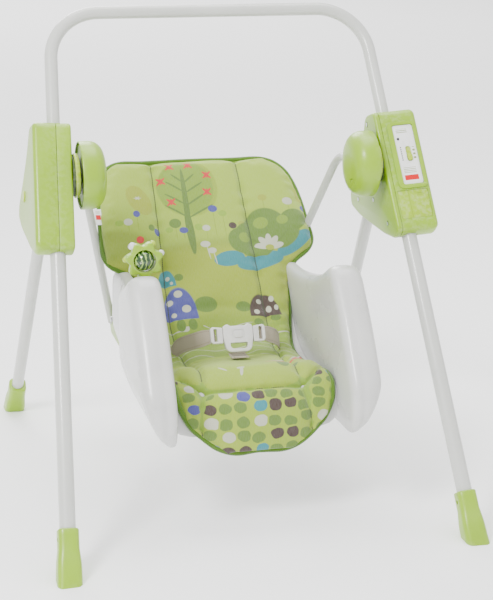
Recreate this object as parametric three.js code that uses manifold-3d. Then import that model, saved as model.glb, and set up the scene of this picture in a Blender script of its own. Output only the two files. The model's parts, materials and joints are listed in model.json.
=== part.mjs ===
// Baby swing with a folding tube frame, a motor housing, a free-hanging seat and a padded cover.
// Millimetres. X to the right, Y to the back, Z up, origin on the floor below the middle of the frame.

import * as THREE from 'three';
import { mergeVertices } from 'three/addons/utils/BufferGeometryUtils.js';
import Module from 'manifold-3d';

const wasm = await Module();
wasm.setup();

// ---- driving dimensions -------------------------------------------------------------------------

const FOOT_X = 286.4;             // leg axis from the middle plane, at the floor
const FOOT_Y = 350.4;             // leg axis from the middle, at the floor
const SPLAY = Math.atan(0.068);   // legs lean inwards going up
const FRONT_SLOPE = 0.6153;       // backward run of the front leg for each mm of height
const REAR_SLOPE = 0.7238;        // forward run of the rear leg for each mm of height
const HANDLE_Z = 703.4;           // handle axis, measured along the leaning leg plane
const HANDLE_BEND = 76;           // bend radius of the handle's two corners
const LEG_R = 11.1;
const HANDLE_R = 9.5;
const REAR_R = 9.5;
const HANGER_R = 6.3;
const WALL_TUBE = 1.2;
const TUBE_SIDES = 14;

const PIVOT_Y = -50;              // swing axis
const PIVOT_Z = 485;
const AXLE_R = 5;
const AXLE_PLAY = 0.4;
const HUB_R = 49;
const HUB_INNER_X = 182;
const HUB_OUTER_X = 219;
const COLLAR_R = 28;

const HOUSING_TOP_Z = 562;
const HOUSING_WALL = 2.6;
const HOUSING_IN = { left: 22, right: 23 };
const HOUSING_OUT = { left: 33, right: 42 };
const PARTING = { left: 0, right: -15 };      // where the two shells of a housing meet
const LEG_GAP = 0.5;              // room between a tube and the hole it passes through
const JOIN_GAP = 0.3;             // gap between two pieces that rest on each other

const HANDLE_END_Z = 520;         // lower end of the handle upright, inside the housing
const LEG_END_Z = 458;            // upper end of the front leg, inside the housing
const REAR_PIVOT_Z = 474;         // fold pivot of the rear leg
const REAR_PIN_R = 4;

const PANEL_X = [0.5, 31.5];          // label plate, across the leaning leg plane
const PANEL_T = [526, 619];       // label plate, along the front leg from the floor
const DOOR_X = [-12, 35];
const DOOR_T = [474, 517];
const FRONT_OFFSET = 24;          // housing front face, ahead of the leg axis

const SEAT_GAP = 2.4;               // between cover and shell
const PAD_THICK = 20;
const SHELL_THICK = 3.5;
const WING_IN = 123;
const WING_OUT = 172;
const WING_SLIMMER = 0.48; // share of its thickness that a wing loses behind
const BACK_HALF = 148;            // half width of the back board above the wings
const RECLINE_Y = 128;
const RECLINE_Z = 216;
const RECLINE_PIN_R = 4;
const BRACKET_X = [108, 134];
const CROSS_R = 8;
const CROSS_Y = 186;
const CROSS_Z = 188;
const HANGER_END_X = 133.6;
const HANGER_END_Y = 217.5;
const HANGER_END_Z = 186;

const LATCH_Y = 40;
const LATCH_Z = 268;
const LATCH_OUT_X = 150;
const BUCKLE_Y = -112;
const BUCKLE_Z = 247;
const BUCKLE_TILT = THREE.MathUtils.degToRad(-25);
const TOY_X = -139;
const TOY_Y = -118;
const TOY_Z = 373;
const TOY_R = 26;
const BALL_R = 15;
const KNOBS = 5;

const BATTERY_X = 26;             // cells, motor and gears sit outside the front leg
const BATTERY_R = 12.6;
const BATTERIES = [['a', -62, 412], ['b', -11, 412], ['c', -40, 438]];
const MOTOR_Y = -20;
const MOTOR_Z = 528;
const GEAR_MODULE = 1.25;
const PINION_TEETH = 8;
const WHEEL_TEETH = 24;
const GEAR_Y = -12;
const GEAR_Z = 509.67;
const BUTTON_R = 8.6;
const BUTTON_Y = 30;
const BUTTON_Z = 440;

const SIDES = [['left', -1], ['right', 1]];

// ---- finishes -----------------------------------------------------------------------------------

const finish = (color, roughness, metalness = 0) =>
  new THREE.MeshStandardMaterial({ color, roughness, metalness });
const LIME = finish(0xa9c934, 0.42);
const DEEP_LIME = finish(0x93b52c, 0.5);
const WHITE_TUBE = finish(0xe4e5e0, 0.35, 0.1);
const WHITE_SHELL = finish(0xeeeeeb, 0.4);
const WHITE_CLIP = finish(0xf5f5f3, 0.35);
const DARK = finish(0x3c4a2c, 0.6);
const STEEL = finish(0xb8bcc0, 0.3, 1);
const LABEL = finish(0xf7f7f7, 0.3);
const LENS = finish(0x111111, 0.15);
const BOARD = finish(0x1f6b3a, 0.6);
const CELL = finish(0x2c2f36, 0.35, 0.4);
const GEAR = finish(0xf0ead8, 0.5);
const COVER = finish(0xa6b83a, 0.9);
const WEBBING = finish(0xc9beb0, 0.9);
const BALL = finish(0x3f6b4a, 0.15);

// ---- solids -------------------------------------------------------------------------------------

function toManifold(geometry) {
  const bare = geometry.clone();
  bare.deleteAttribute('normal');
  bare.deleteAttribute('uv');
  const merged = mergeVertices(bare, 1e-4);
  return new wasm.Manifold(new wasm.Mesh({
    numProp: 3,
    vertProperties: new Float32Array(merged.attributes.position.array),
    triVerts: new Uint32Array(merged.index.array),
  }));
}

function toGeometry(manifold) {
  const { vertProperties, triVerts } = manifold.getMesh();
  const geometry = new THREE.BufferGeometry();
  geometry.setAttribute('position', new THREE.BufferAttribute(new Float32Array(vertProperties), 3));
  geometry.setIndex(new THREE.BufferAttribute(new Uint32Array(triVerts), 1));
  geometry.computeVertexNormals();
  return geometry;
}

function combine(start, steps) {
  let body = toManifold(start);
  for (const [how, geometry] of steps) body = body[how](toManifold(geometry));
  return toGeometry(body);
}

const cut = (start, ...tools) => combine(start, tools.map((tool) => ['subtract', tool]));
const join = (start, ...more) => combine(start, more.map((tool) => ['add', tool]));
const common = (start, ...more) => combine(start, more.map((tool) => ['intersect', tool]));

function box(x, y, z) {
  const geometry = new THREE.BoxGeometry(x[1] - x[0], y[1] - y[0], z[1] - z[0]);
  return geometry.translate((x[0] + x[1]) / 2, (y[0] + y[1]) / 2, (z[0] + z[1]) / 2);
}

// Rounded outline from [a, b, radius] corners, counter-clockwise.
function outline(corners, radius = 0) {
  const shape = new THREE.Shape();
  const count = corners.length;
  corners.forEach(([a, b, own], i) => {
    const here = new THREE.Vector2(a, b);
    const before = new THREE.Vector2(...corners[(i + count - 1) % count]);
    const after = new THREE.Vector2(...corners[(i + 1) % count]);
    const reach = own ?? radius;
    const start = here.clone().add(before.sub(here).setLength(reach));
    const end = here.clone().add(after.sub(here).setLength(reach));
    if (i === 0) shape.moveTo(start.x, start.y);
    else shape.lineTo(start.x, start.y);
    if (reach > 0) shape.quadraticCurveTo(a, b, end.x, end.y);
  });
  shape.closePath();
  return shape;
}

// Turns an extrusion of a (y, z) outline so that its depth runs along X.
const ALONG_X = new THREE.Matrix4().makeBasis(
  new THREE.Vector3(0, 1, 0), new THREE.Vector3(0, 0, 1), new THREE.Vector3(1, 0, 0));

function slab(shape, x0, x1, bevel = 0, detail = 3, bevelSteps = 2) {
  const options = { depth: x1 - x0 - 2 * bevel, steps: 1, curveSegments: detail, bevelEnabled: bevel > 0 };
  if (bevel > 0) {
    Object.assign(options, { bevelThickness: bevel, bevelSize: bevel, bevelOffset: -bevel });
    options.bevelSegments = bevelSteps;
  }
  const geometry = new THREE.ExtrudeGeometry(shape, options).translate(0, 0, x0 + bevel);
  return geometry.applyMatrix4(ALONG_X);
}

// Path through listed stations, so that straight runs take one step each.
class Stations extends THREE.Curve {
  constructor(points) {
    super();
    this.points = points;
  }

  getPointAt(t) {
    return this.points[Math.round(t * (this.points.length - 1))].clone();
  }

  getTangentAt(t) {
    const i = Math.round(t * (this.points.length - 1));
    const last = this.points.length - 1;
    const into = this.points[Math.max(i, 1)].clone().sub(this.points[Math.max(i, 1) - 1]).normalize();
    const after = this.points[Math.min(i + 1, last)];
    const out = after.clone().sub(this.points[Math.min(i, last - 1)]).normalize();
    return into.add(out).normalize();
  }
}

function circle(radius, sides) {
  return new THREE.Shape(Array.from({ length: sides }, (_, i) => {
    const angle = (2 * Math.PI * i) / sides;
    return new THREE.Vector2(radius * Math.cos(angle), radius * Math.sin(angle));
  }));
}

function sweep(points, shape) {
  return new THREE.ExtrudeGeometry(shape, {
    steps: points.length - 1, extrudePath: new Stations(points), bevelEnabled: false, curveSegments: 2,
  });
}

function rod(points, radius, sides = TUBE_SIDES) {
  return sweep(points, circle(radius, sides));
}

function pipe(points, radius, wall, sides = TUBE_SIDES) {
  const shape = circle(radius, sides);
  shape.holes.push(circle(radius - wall, sides));
  return sweep(points, shape);
}

// Points of a path with its corners rounded to the given radius, [x, y, z, radius].
function bent(corners, perBend = 7) {
  const points = corners.map(([x, y, z]) => new THREE.Vector3(x, y, z));
  const path = [points[0]];
  for (let i = 1; i < points.length - 1; i += 1) {
    const back = points[i - 1].clone().sub(points[i]).normalize();
    const ahead = points[i + 1].clone().sub(points[i]).normalize();
    const half = back.angleTo(ahead) / 2;
    const radius = corners[i][3];
    const bisector = back.clone().add(ahead).normalize();
    const centre = points[i].clone().addScaledVector(bisector, radius / Math.sin(half));
    const start = points[i].clone().addScaledVector(back, radius / Math.tan(half)).sub(centre);
    const end = points[i].clone().addScaledVector(ahead, radius / Math.tan(half)).sub(centre);
    const turn = new THREE.Quaternion();
    turn.setFromUnitVectors(start.clone().normalize(), end.clone().normalize());
    for (let k = 0; k <= perBend; k += 1) {
      const part = new THREE.Quaternion().slerp(turn, k / perBend);
      path.push(start.clone().applyQuaternion(part).add(centre));
    }
  }
  return [...path, points.at(-1)];
}

// Round bar along X.
function barX(radius, x0, x1, y = 0, z = 0, sides = TUBE_SIDES) {
  return rod([new THREE.Vector3(x0, y, z), new THREE.Vector3(x1, y, z)], radius, sides);
}

function ringX(outer, inner, x0, x1, y, z, sides = TUBE_SIDES) {
  return pipe([new THREE.Vector3(x0, y, z), new THREE.Vector3(x1, y, z)], outer, outer - inner, sides);
}

function mirrored(geometry) {
  const flipped = geometry.clone().applyMatrix4(new THREE.Matrix4().makeScale(-1, 1, 1));
  const indexed = flipped.index ? flipped : mergeVertices(flipped, 1e-5);
  const order = indexed.index.array;
  for (let i = 0; i < order.length; i += 3) [order[i], order[i + 1]] = [order[i + 1], order[i]];
  indexed.computeVertexNormals();
  return indexed;
}

const swing = new THREE.Group();
swing.name = 'baby_swing';

function place(name, geometry, material) {
  const mesh = new THREE.Mesh(geometry, material);
  mesh.name = name;
  swing.add(mesh);
  return mesh;
}

// A piece drawn for the right side, and placed on the side that is asked for.
function placeSided(name, side, geometry, material) {
  return place(name, side > 0 ? geometry : mirrored(geometry), material);
}

// ---- the leaning leg plane ----------------------------------------------------------------------

// Pieces of one side are drawn with x across the plane of that side's legs, then leaned inwards.
const LEAN = new THREE.Matrix4().makeRotationY(-SPLAY).setPosition(FOOT_X, 0, 0);
const lean = (geometry) => geometry.clone().applyMatrix4(LEAN);
const UPRIGHT = 1 / Math.cos(SPLAY);

const frontY = (z) => -FOOT_Y + (FRONT_SLOPE / UPRIGHT) * z;
const rearY = (z) => FOOT_Y - (REAR_SLOPE / UPRIGHT) * z;
const frontAxis = (z) => new THREE.Vector3(0, frontY(z), z);
const rearAxis = (z) => new THREE.Vector3(0, rearY(z), z);
const FRONT_ALONG = frontAxis(1).sub(frontAxis(0)).normalize();
const FRONT_AHEAD = new THREE.Vector3(0, -FRONT_ALONG.z, FRONT_ALONG.y);

// ---- frame tubes and feet -----------------------------------------------------------------------

function handleTube() {
  const reach = HANDLE_Z * Math.sin(SPLAY);
  const height = HANDLE_Z * Math.cos(SPLAY);
  const cornerX = FOOT_X - reach;
  const low = frontAxis(HANDLE_END_Z).applyMatrix4(LEAN);
  const top = [cornerX, frontY(HANDLE_Z), height, HANDLE_BEND];
  const path = bent([
    [-low.x, low.y, low.z], [-top[0], top[1], top[2], top[3]], top, [low.x, low.y, low.z],
  ], 6);
  return pipe(path, HANDLE_R, WALL_TUBE);
}

// Moulded cap on a leg end: a tapered, softly squared sleeve whose toe is cut level with the floor.
function footCap(axis) {
  const along = axis(1).sub(axis(0)).normalize();
  const low = axis(0).addScaledVector(along, -30);
  const mid = axis(0).addScaledVector(along, 44);
  const high = axis(0).addScaledVector(along, 70);
  const section = (half) => outline([
    [-half, -half], [half, -half], [half, half], [-half, half],
  ], half * 0.75);
  const sleeve = sweep([low, mid], section(16.4));
  const neck = sweep([mid.clone().addScaledVector(along, -1), high], section(14.6));
  const boreEnds = [axis(0).addScaledVector(along, 8), high.clone().addScaledVector(along, 5)];
  const bore = rod(boreEnds, LEG_R + LEG_GAP);
  const button = barX(3, -30, 30, axis(56 * along.z).y, axis(56 * along.z).z, 12);
  return { shell: join(sleeve, neck), bore, button };
}

function foot(axis, floorCut) {
  const { shell, bore, button } = footCap(axis);
  return cut(lean(shell), lean(bore), lean(button), floorCut);
}

const floorCut = box([150, 420], [-500, 500], [-80, 0]);

function legs() {
  for (const [label, side] of SIDES) {
    const front = pipe([frontAxis(14), frontAxis(LEG_END_Z)], LEG_R, WALL_TUBE);
    placeSided(`${label}_front_leg`, side, lean(front), WHITE_TUBE);
    const rear = pipe([rearAxis(14), rearAxis(REAR_PIVOT_Z + 12)], REAR_R, WALL_TUBE);
    const eye = barX(REAR_PIN_R + 0.3, -30, 30, rearY(REAR_PIVOT_Z), REAR_PIVOT_Z, 14);
    placeSided(`${label}_rear_leg`, side, cut(lean(rear), lean(eye)), WHITE_TUBE);
    placeSided(`${label}_front_foot`, side, foot(frontAxis, floorCut), LIME);
    placeSided(`${label}_rear_foot`, side, foot(rearAxis, floorCut), LIME);
  }
}

// ---- housings -----------------------------------------------------------------------------------

// Side outline of a housing: a straight front beside the leg, a sail-shaped back over the rear leg.
function housingOutline(inset) {
  const ahead = FRONT_OFFSET - inset;
  const low = frontAxis(389 + inset).addScaledVector(FRONT_AHEAD, ahead);
  const high = frontAxis(HOUSING_TOP_Z - 13 - inset).addScaledVector(FRONT_AHEAD, ahead);
  const side = inset * 0.8;
  return outline([
    [low.y, low.z, 9],
    [-112 + side, 385 + inset, 9],
    [-62, 381 + inset, 12],
    [54, 384 + inset, 14],
    [96 - side, 392 + inset, 7],
    [100 - inset, 412, 8],
    [61 - inset, 459, 16],
    [26 - inset, 506, 16],
    [8 - inset, 549 - inset, 9],
    [high.y, high.z, 9],
  ]);
}

// Cutters for everything that passes through a housing's walls.
function housingCutters(innerX) {
  const axle = barX(AXLE_R + 3, 100, 330, PIVOT_Y, PIVOT_Z, 20);
  const handle = rod([frontAxis(535), frontAxis(620)], HANDLE_R + LEG_GAP);
  const front = rod([frontAxis(330), frontAxis(LEG_END_Z)], LEG_R + LEG_GAP);
  const sweepSlot = box([-11.5, 11.5], [-72, 92], [370, 398]);
  const pin = barX(REAR_PIN_R + 0.2, -innerX - 5, 60, rearY(REAR_PIVOT_Z), REAR_PIVOT_Z, 14);
  const button = barX(BUTTON_R + JOIN_GAP, 15, 80, BUTTON_Y, BUTTON_Z, 18);
  return [axle, lean(handle), lean(front), lean(sweepSlot), lean(pin), lean(button)];
}

function housingHalf(x0, x1, openAt, cutters) {
  const body = slab(housingOutline(0), x0, x1, 0);
  const span = [Math.min(x0, openAt - 12), Math.max(x1, openAt + 12)];
  const rounded = common(slab(housingOutline(0), span[0], span[1], 4), body);
  const innerX0 = openAt <= x0 ? x0 - 5 : x0 + HOUSING_WALL;
  const innerX1 = openAt >= x1 ? x1 + 5 : x1 - HOUSING_WALL;
  const hollow = slab(housingOutline(HOUSING_WALL), innerX0, innerX1);
  return cut(lean(cut(rounded, hollow)), ...cutters);
}

const OPENING_CLEAR = 0.4;
const wider = ([low, high]) => [low - OPENING_CLEAR, high + OPENING_CLEAR];

// A rectangle on the front face of the motor housing, t along the leg and d ahead of the front face.
function frontPlate(xs, ts, d0, d1, radius = 2) {
  const shape = outline([[xs[0], ts[0]], [xs[1], ts[0]], [xs[1], ts[1]], [xs[0], ts[1]]], radius);
  const settings = { depth: d1 - d0, bevelEnabled: false, curveSegments: 3 };
  const geometry = new THREE.ExtrudeGeometry(shape, settings);
  const basis = new THREE.Matrix4().makeBasis(new THREE.Vector3(1, 0, 0), FRONT_ALONG, FRONT_AHEAD);
  basis.setPosition(new THREE.Vector3(0, -FOOT_Y, 0).addScaledVector(FRONT_AHEAD, FRONT_OFFSET + d0));
  return lean(geometry.applyMatrix4(basis));
}

function housings() {
  for (const [label, side] of SIDES) {
    const inner = HOUSING_IN[label];
    const outer = HOUSING_OUT[label];
    const name = label === 'left' ? 'left_housing' : 'motor_housing';
    const cutters = housingCutters(inner);
    const outerCutters = [...cutters];
    if (label === 'right') {
      outerCutters.push(frontPlate(wider(PANEL_X), wider(PANEL_T), -8, 8));
      outerCutters.push(frontPlate(wider(DOOR_X), wider(DOOR_T), -8, 8));
    }
    const seam = PARTING[label];
    const outside = housingHalf(seam + JOIN_GAP / 2, outer, seam + JOIN_GAP / 2, outerCutters);
    const inside = housingHalf(-inner, seam - JOIN_GAP / 2, seam - JOIN_GAP / 2, cutters);
    placeSided(`${name}_outer`, side, outside, LIME);
    placeSided(`${name}_inner`, side, inside, LIME);
  }
}

function controls() {
  const slot = frontPlate([14.5, 22.5], [562, 585], -8, 8, 3.5);
  const eye = frontPlate([3.5, 8.5], [595, 600], -8, 8, 2.4);
  place('control_label', cut(frontPlate(PANEL_X, PANEL_T, -2, 1), slot, eye), LABEL);
  place('speed_slider', frontPlate([15, 22], [562.6, 572.4], -3, 4, 3), DEEP_LIME);
  place('indicator_lens', frontPlate([3.9, 8.1], [595.4, 599.6], -3, 2, 2), LENS);
  const rimX = [PANEL_X[0] - 7, PANEL_X[1] + 5];
  const rim = frontPlate(rimX, [PANEL_T[0] - 5, PANEL_T[1] + 5], JOIN_GAP, 2.6, 4);
  const window = frontPlate(wider(PANEL_X), wider(PANEL_T), -8, 8);
  place('label_bezel', cut(rim, window), LIME);
  place('battery_door', frontPlate(DOOR_X, DOOR_T, -3, -0.6), LIME);
}

// ---- works inside the housings ------------------------------------------------------------------

function driveWorks() {
  const hubFace = HUB_OUTER_X - 8;
  for (const [label, side] of SIDES) {
    const far = label === 'left' ? 262 : 278;
    place(`${label}_pivot_axle`, barX(AXLE_R, ...(side > 0 ? [hubFace, far] : [-far, -hubFace]),
      PIVOT_Y, PIVOT_Z, 16), STEEL);
    const near = 240;
    const collar = ringX(COLLAR_R, AXLE_R + AXLE_PLAY, HUB_OUTER_X + JOIN_GAP, near, PIVOT_Y, PIVOT_Z, 20);
    const wall = lean(box([-HOUSING_IN[label] - JOIN_GAP, 40], [-150, 60], [400, 560]));
    placeSided(`${label}_pivot_collar`, side, cut(collar, wall), DARK);
    const pin = barX(REAR_PIN_R, -HOUSING_IN[label] + 0.5, 24, rearY(REAR_PIVOT_Z), REAR_PIVOT_Z, 14);
    placeSided(`${label}_rear_leg_pin`, side, lean(pin), STEEL);
  }
}

// Spur gear across X, with teeth thin enough to run free.
function gearX(teeth, x0, x1, y, z, turn = 0) {
  const pitch = (GEAR_MODULE * teeth) / 2;
  const points = [];
  for (let tooth = 0; tooth < teeth; tooth += 1) {
    const middle = turn + (2 * Math.PI * tooth) / teeth;
    for (const [part, rise] of [[-0.36, -1.3], [-0.13, 0.75], [0.13, 0.75], [0.36, -1.3]]) {
      const angle = middle + (part * 2 * Math.PI) / teeth;
      const radius = pitch + rise * GEAR_MODULE;
      points.push(new THREE.Vector2(y + radius * Math.cos(angle), z + radius * Math.sin(angle)));
    }
  }
  return slab(new THREE.Shape(points), x0, x1);
}

function motorWorks() {
  for (const [letter, y, z] of BATTERIES) {
    const ends = [new THREE.Vector3(BATTERY_X, y - 24, z), new THREE.Vector3(BATTERY_X, y + 24, z)];
    place(`battery_${letter}`, lean(rod(ends, BATTERY_R, 14)), CELL);
  }
  const body = barX(11, 13, 31, MOTOR_Y, MOTOR_Z, 16);
  place('motor', lean(join(body, barX(1.2, 30, 38.6, MOTOR_Y, MOTOR_Z, 10))), STEEL);
  const pinion = gearX(PINION_TEETH, 32.5, 38, MOTOR_Y, MOTOR_Z, 0);
  place('motor_pinion', lean(cut(pinion, barX(1.5, 25, 50, MOTOR_Y, MOTOR_Z, 10))), GEAR);
  const meshAngle = Math.atan2(GEAR_Z - MOTOR_Z, GEAR_Y - MOTOR_Y);
  const wheelTurn = meshAngle + Math.PI + Math.PI / WHEEL_TEETH + (meshAngle * PINION_TEETH) / WHEEL_TEETH;
  const wheel = gearX(WHEEL_TEETH, 33.5, 37, GEAR_Y, GEAR_Z, wheelTurn);
  place('drive_gear', lean(join(wheel, barX(3, 27, 34, GEAR_Y, GEAR_Z, 12))), GEAR);
  place('circuit_board', frontPlate([12, 36], [530, 612], -10, -8.4), BOARD);
  const eye = barX(11, 266, 270, PIVOT_Y, PIVOT_Z, 16);
  const arm = box([266, 270], [PIVOT_Y - 4, PIVOT_Y + 4], [PIVOT_Z - 22, PIVOT_Z - 9]);
  const lever = cut(join(eye, arm), barX(AXLE_R + JOIN_GAP, 250, 290, PIVOT_Y, PIVOT_Z, 16));
  place('swing_lever', lever, GEAR);
}

function foldButtons() {
  for (const [label, side] of SIDES) {
    const face = HOUSING_OUT[label];
    const cap = barX(BUTTON_R, face - 3.5, face + 2, BUTTON_Y, BUTTON_Z, 18);
    placeSided(`${label}_fold_button`, side, lean(cap), DEEP_LIME);
  }
}

// ---- hubs, hanger tubes and seat brackets -------------------------------------------------------

// Solid of revolution about the swing axis from [radius, x] pairs that start and end on the axis.
function turned(profile, sides = 22) {
  const lathe = new THREE.LatheGeometry(profile.map(([r, x]) => new THREE.Vector2(r, x)), sides);
  const basis = new THREE.Matrix4().makeBasis(
    new THREE.Vector3(0, 1, 0), new THREE.Vector3(1, 0, 0), new THREE.Vector3(0, 0, -1));
  basis.setPosition(0, PIVOT_Y, PIVOT_Z);
  return lathe.applyMatrix4(basis);
}

const HANGER_PATH = bent([
  [202.5, -36, 482], [202.5, 58, 480, 46], [HANGER_END_X, HANGER_END_Y, HANGER_END_Z],
], 6);

function hubs() {
  const inner = HUB_INNER_X;
  const skin = [[0, inner], [32, inner + 1], [43, inner + 7], [HUB_R, inner + 16],
    [HUB_R, HUB_OUTER_X], [HUB_R - 2.6, HUB_OUTER_X], [HUB_R - 2.6, inner + 17], [41, inner + 9],
    [31, inner + 3.8], [0, inner + 2.8]];
  const hole = rod(HANGER_PATH, HANGER_R + LEG_GAP, 12);
  for (const [label, side] of SIDES) {
    placeSided(`${label}_hub_cover`, side, cut(turned(skin), hole), LIME);
    const plate = turned([[0, 213], [HUB_R - 3, 213], [HUB_R - 3, 216.5], [0, 216.5]]);
    const boss = barX(11, 188, 214, PIVOT_Y, PIVOT_Z, 16);
    const bore = barX(AXLE_R + JOIN_GAP, 205, 240, PIVOT_Y, PIVOT_Z, 16);
    placeSided(`${label}_hub_back`, side, cut(join(plate, boss), bore), LIME);
    placeSided(`${label}_hanger_tube`, side, pipe(HANGER_PATH, HANGER_R, 1, 12), WHITE_TUBE);
  }
}

function brackets() {
  const side = outline([
    [118, 163, 6], [226, 163, 8], [240, 186, 8], [234, 207, 6], [206, 219, 6], [150, 214, 4],
    [141, 228, 6], [114, 228, 6], [114, 204, 3],
  ]);
  const socket = rod([HANGER_PATH.at(-1), HANGER_PATH.at(-2)], HANGER_R + JOIN_GAP, 12);
  const pin = barX(RECLINE_PIN_R + JOIN_GAP, 90, 150, RECLINE_Y, RECLINE_Z, 14);
  const crossEnd = barX(CROSS_R + JOIN_GAP, 90, BRACKET_X[0] + 12, CROSS_Y, CROSS_Z, 14);
  for (const [label, hand] of SIDES) {
    const block = cut(slab(side, ...BRACKET_X, 2.5, 3, 2), socket, pin, crossEnd);
    placeSided(`${label}_seat_bracket`, hand, block, LIME);
    const bolt = join(barX(RECLINE_PIN_R, BRACKET_X[0] - 1, WING_OUT - 22, RECLINE_Y, RECLINE_Z, 14),
      barX(RECLINE_PIN_R + 3, BRACKET_X[0] - 4, BRACKET_X[0] - JOIN_GAP, RECLINE_Y, RECLINE_Z, 14));
    placeSided(`${label}_recline_pin`, hand, bolt, STEEL);
  }
  const reach = BRACKET_X[0] + 11;
  const crossEnds = [-reach, reach].map((x) => new THREE.Vector3(x, CROSS_Y, CROSS_Z));
  place('cross_tube', pipe(crossEnds, CROSS_R, 1, 14), WHITE_TUBE);
}

// ---- seat ---------------------------------------------------------------------------------------

// Middle line of the cover's upper face, from the top of the back to the lower edge in front.
const SPINE = new THREE.CatmullRomCurve3([
  [200, 458], [150, 400], [99, 342], [56, 290], [20, 248], [-8, 222], [-40, 209], [-86, 207],
  [-134, 213], [-176, 220], [-208, 213], [-228, 190], [-238, 156], [-242, 116],
].map(([y, z]) => new THREE.Vector3(0, y, z)));

function spineAt(t) {
  const point = SPINE.getPointAt(t);
  const along = SPINE.getTangentAt(t);
  return { point, out: new THREE.Vector3(0, along.z, -along.y) };
}

// Sheet that follows the spine below the cover, between two distances from the cover's upper face.
function spineSheet(from, to, near, far, halfWidth, steps) {
  const upper = [];
  const lower = [];
  for (let i = 0; i <= steps; i += 1) {
    const { point, out } = spineAt(from + ((to - from) * i) / steps);
    upper.push(point.clone().addScaledVector(out, -near));
    lower.push(point.clone().addScaledVector(out, -far));
  }
  const loop = [...upper, ...lower.reverse()].map((p) => new THREE.Vector2(p.y, p.z));
  return slab(new THREE.Shape(loop), -halfWidth, halfWidth);
}

function seatShell() {
  const near = PAD_THICK + SEAT_GAP;
  const pan = spineSheet(0.2, 0.96, near, near + SHELL_THICK, WING_IN - 0.5, 38);
  const board = spineSheet(0.04, 0.24, near, near + SHELL_THICK, BACK_HALF, 10);
  return join(pan, board);
}

// Side wing: a thick hollow arm, full width in front, thinner behind, drawn in towards its bottom edge.
function wingBody(inset) {
  const profile = outline([
    [-280 + inset, 142 + inset, 22], [-120, 138 + inset, 30],
    [40, 152 + inset, 30], [140 - inset, 200 + inset, 18],
    [122 - inset, 304 - inset, 24], [0, 306 - inset, 40], [-96, 330 - inset, 30], [-164, 368 - inset, 32],
    [-232 + inset, 290, 30], [-292 + inset, 202, 24],
  ]);
  const body = slab(profile, WING_IN + inset, WING_OUT - inset, inset > 0 ? 10 : 13, 3, 2);
  const at = body.attributes.position;
  for (let i = 0; i < at.count; i += 1) {
    const behind = THREE.MathUtils.smoothstep(at.getY(i), -110, 60);
    const rise = THREE.MathUtils.clamp((at.getZ(i) - 136) / 80, 0, 1);
    const width = (WING_OUT - WING_IN) * (1 - WING_SLIMMER * behind) * Math.sqrt(Math.max(rise, 0.04));
    const part = (at.getX(i) - WING_IN) / (WING_OUT - WING_IN);
    at.setX(i, WING_IN + part * width);
  }
  return body;
}

function wings() {
  const pin = barX(RECLINE_PIN_R + JOIN_GAP, 90, 200, RECLINE_Y, RECLINE_Z, 14);
  const latchSlot = box([90, 200], [LATCH_Y - 2.4, LATCH_Y + 2.4], [LATCH_Z - 7.4, LATCH_Z + 7.4]);
  const underside = box([WING_IN + 5, WING_IN + 14], [-180, 20], [120, 165]);
  const bracketRoom = box([90, WING_IN + 13], [100, 260], [120, 246]);
  for (const [label, side] of SIDES) {
    const wing = cut(wingBody(0), wingBody(3.2), underside, pin, latchSlot, bracketRoom);
    placeSided(`${label}_side_wing`, side, wing, WHITE_SHELL);
    const latch = box([WING_IN + 8, LATCH_OUT_X], [LATCH_Y - 2, LATCH_Y + 2], [LATCH_Z - 7, LATCH_Z + 7]);
    placeSided(`${label}_recline_latch`, side, latch, LIME);
  }
}

// Closed skin over rings of equal count, each ring's second half running back under its first half.
function loft(rings) {
  const count = rings[0].length;
  const half = count / 2;
  const flat = rings.flat();
  const index = [];
  for (let r = 0; r + 1 < rings.length; r += 1) {
    for (let i = 0; i < count; i += 1) {
      const a = r * count + i;
      const b = r * count + ((i + 1) % count);
      index.push(a, b, b + count, a, b + count, a + count);
    }
  }
  const cap = (base, flip) => {
    for (let i = 0; i + 1 < half; i += 1) {
      const [a, b, c, d] = [base + i, base + i + 1, base + count - 2 - i, base + count - 1 - i];
      if (flip) index.push(a, c, b, a, d, c);
      else index.push(a, b, c, a, c, d);
    }
  };
  cap(0, true);
  cap((rings.length - 1) * count, false);
  const geometry = new THREE.BufferGeometry().setFromPoints(flat);
  geometry.setIndex(index);
  geometry.computeVertexNormals();
  return geometry;
}

// Half width of the cover against the distance along its middle line.
const PAD_WIDTHS = [
  [0, 130], [0.05, 150], [0.16, 162], [0.25, 164], [0.28, 150], [0.305, 119], [0.42, 118], [0.55, 104],
  [0.64, 108], [0.76, 117], [0.86, 117.5], [0.92, 106], [0.96, 84], [1, 44],
];

function padHalfWidth(t) {
  const i = Math.max(1, PAD_WIDTHS.findIndex(([at]) => at >= t));
  const [t0, w0] = PAD_WIDTHS[i - 1];
  const [t1, w1] = PAD_WIDTHS[i];
  return THREE.MathUtils.lerp(w0, w1, THREE.MathUtils.clamp((t - t0) / (t1 - t0), 0, 1));
}

function seatPad() {
  const rings = [];
  const between = [0.1, 0.22, 0.48, 0.5, 0.6, 0.7, 0.81, 0.89];
  for (const t of [...PAD_WIDTHS.map(([at]) => at), ...between].sort((a, b) => a - b)) {
    const { point, out } = spineAt(t);
    const half = padHalfWidth(t);
    const upper = [];
    const lower = [];
    for (const u of [-1, -0.8, -0.4, 0, 0.4, 0.8, 1]) {
      const thin = u * u * u * u;
      const at = new THREE.Vector3(u * half, point.y, point.z);
      upper.push(at.clone().addScaledVector(out, -7 * thin));
      lower.push(at.clone().addScaledVector(out, -PAD_THICK));
    }
    rings.push([...upper, ...lower.reverse()]);
  }
  return loft(rings.reverse());
}

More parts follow.
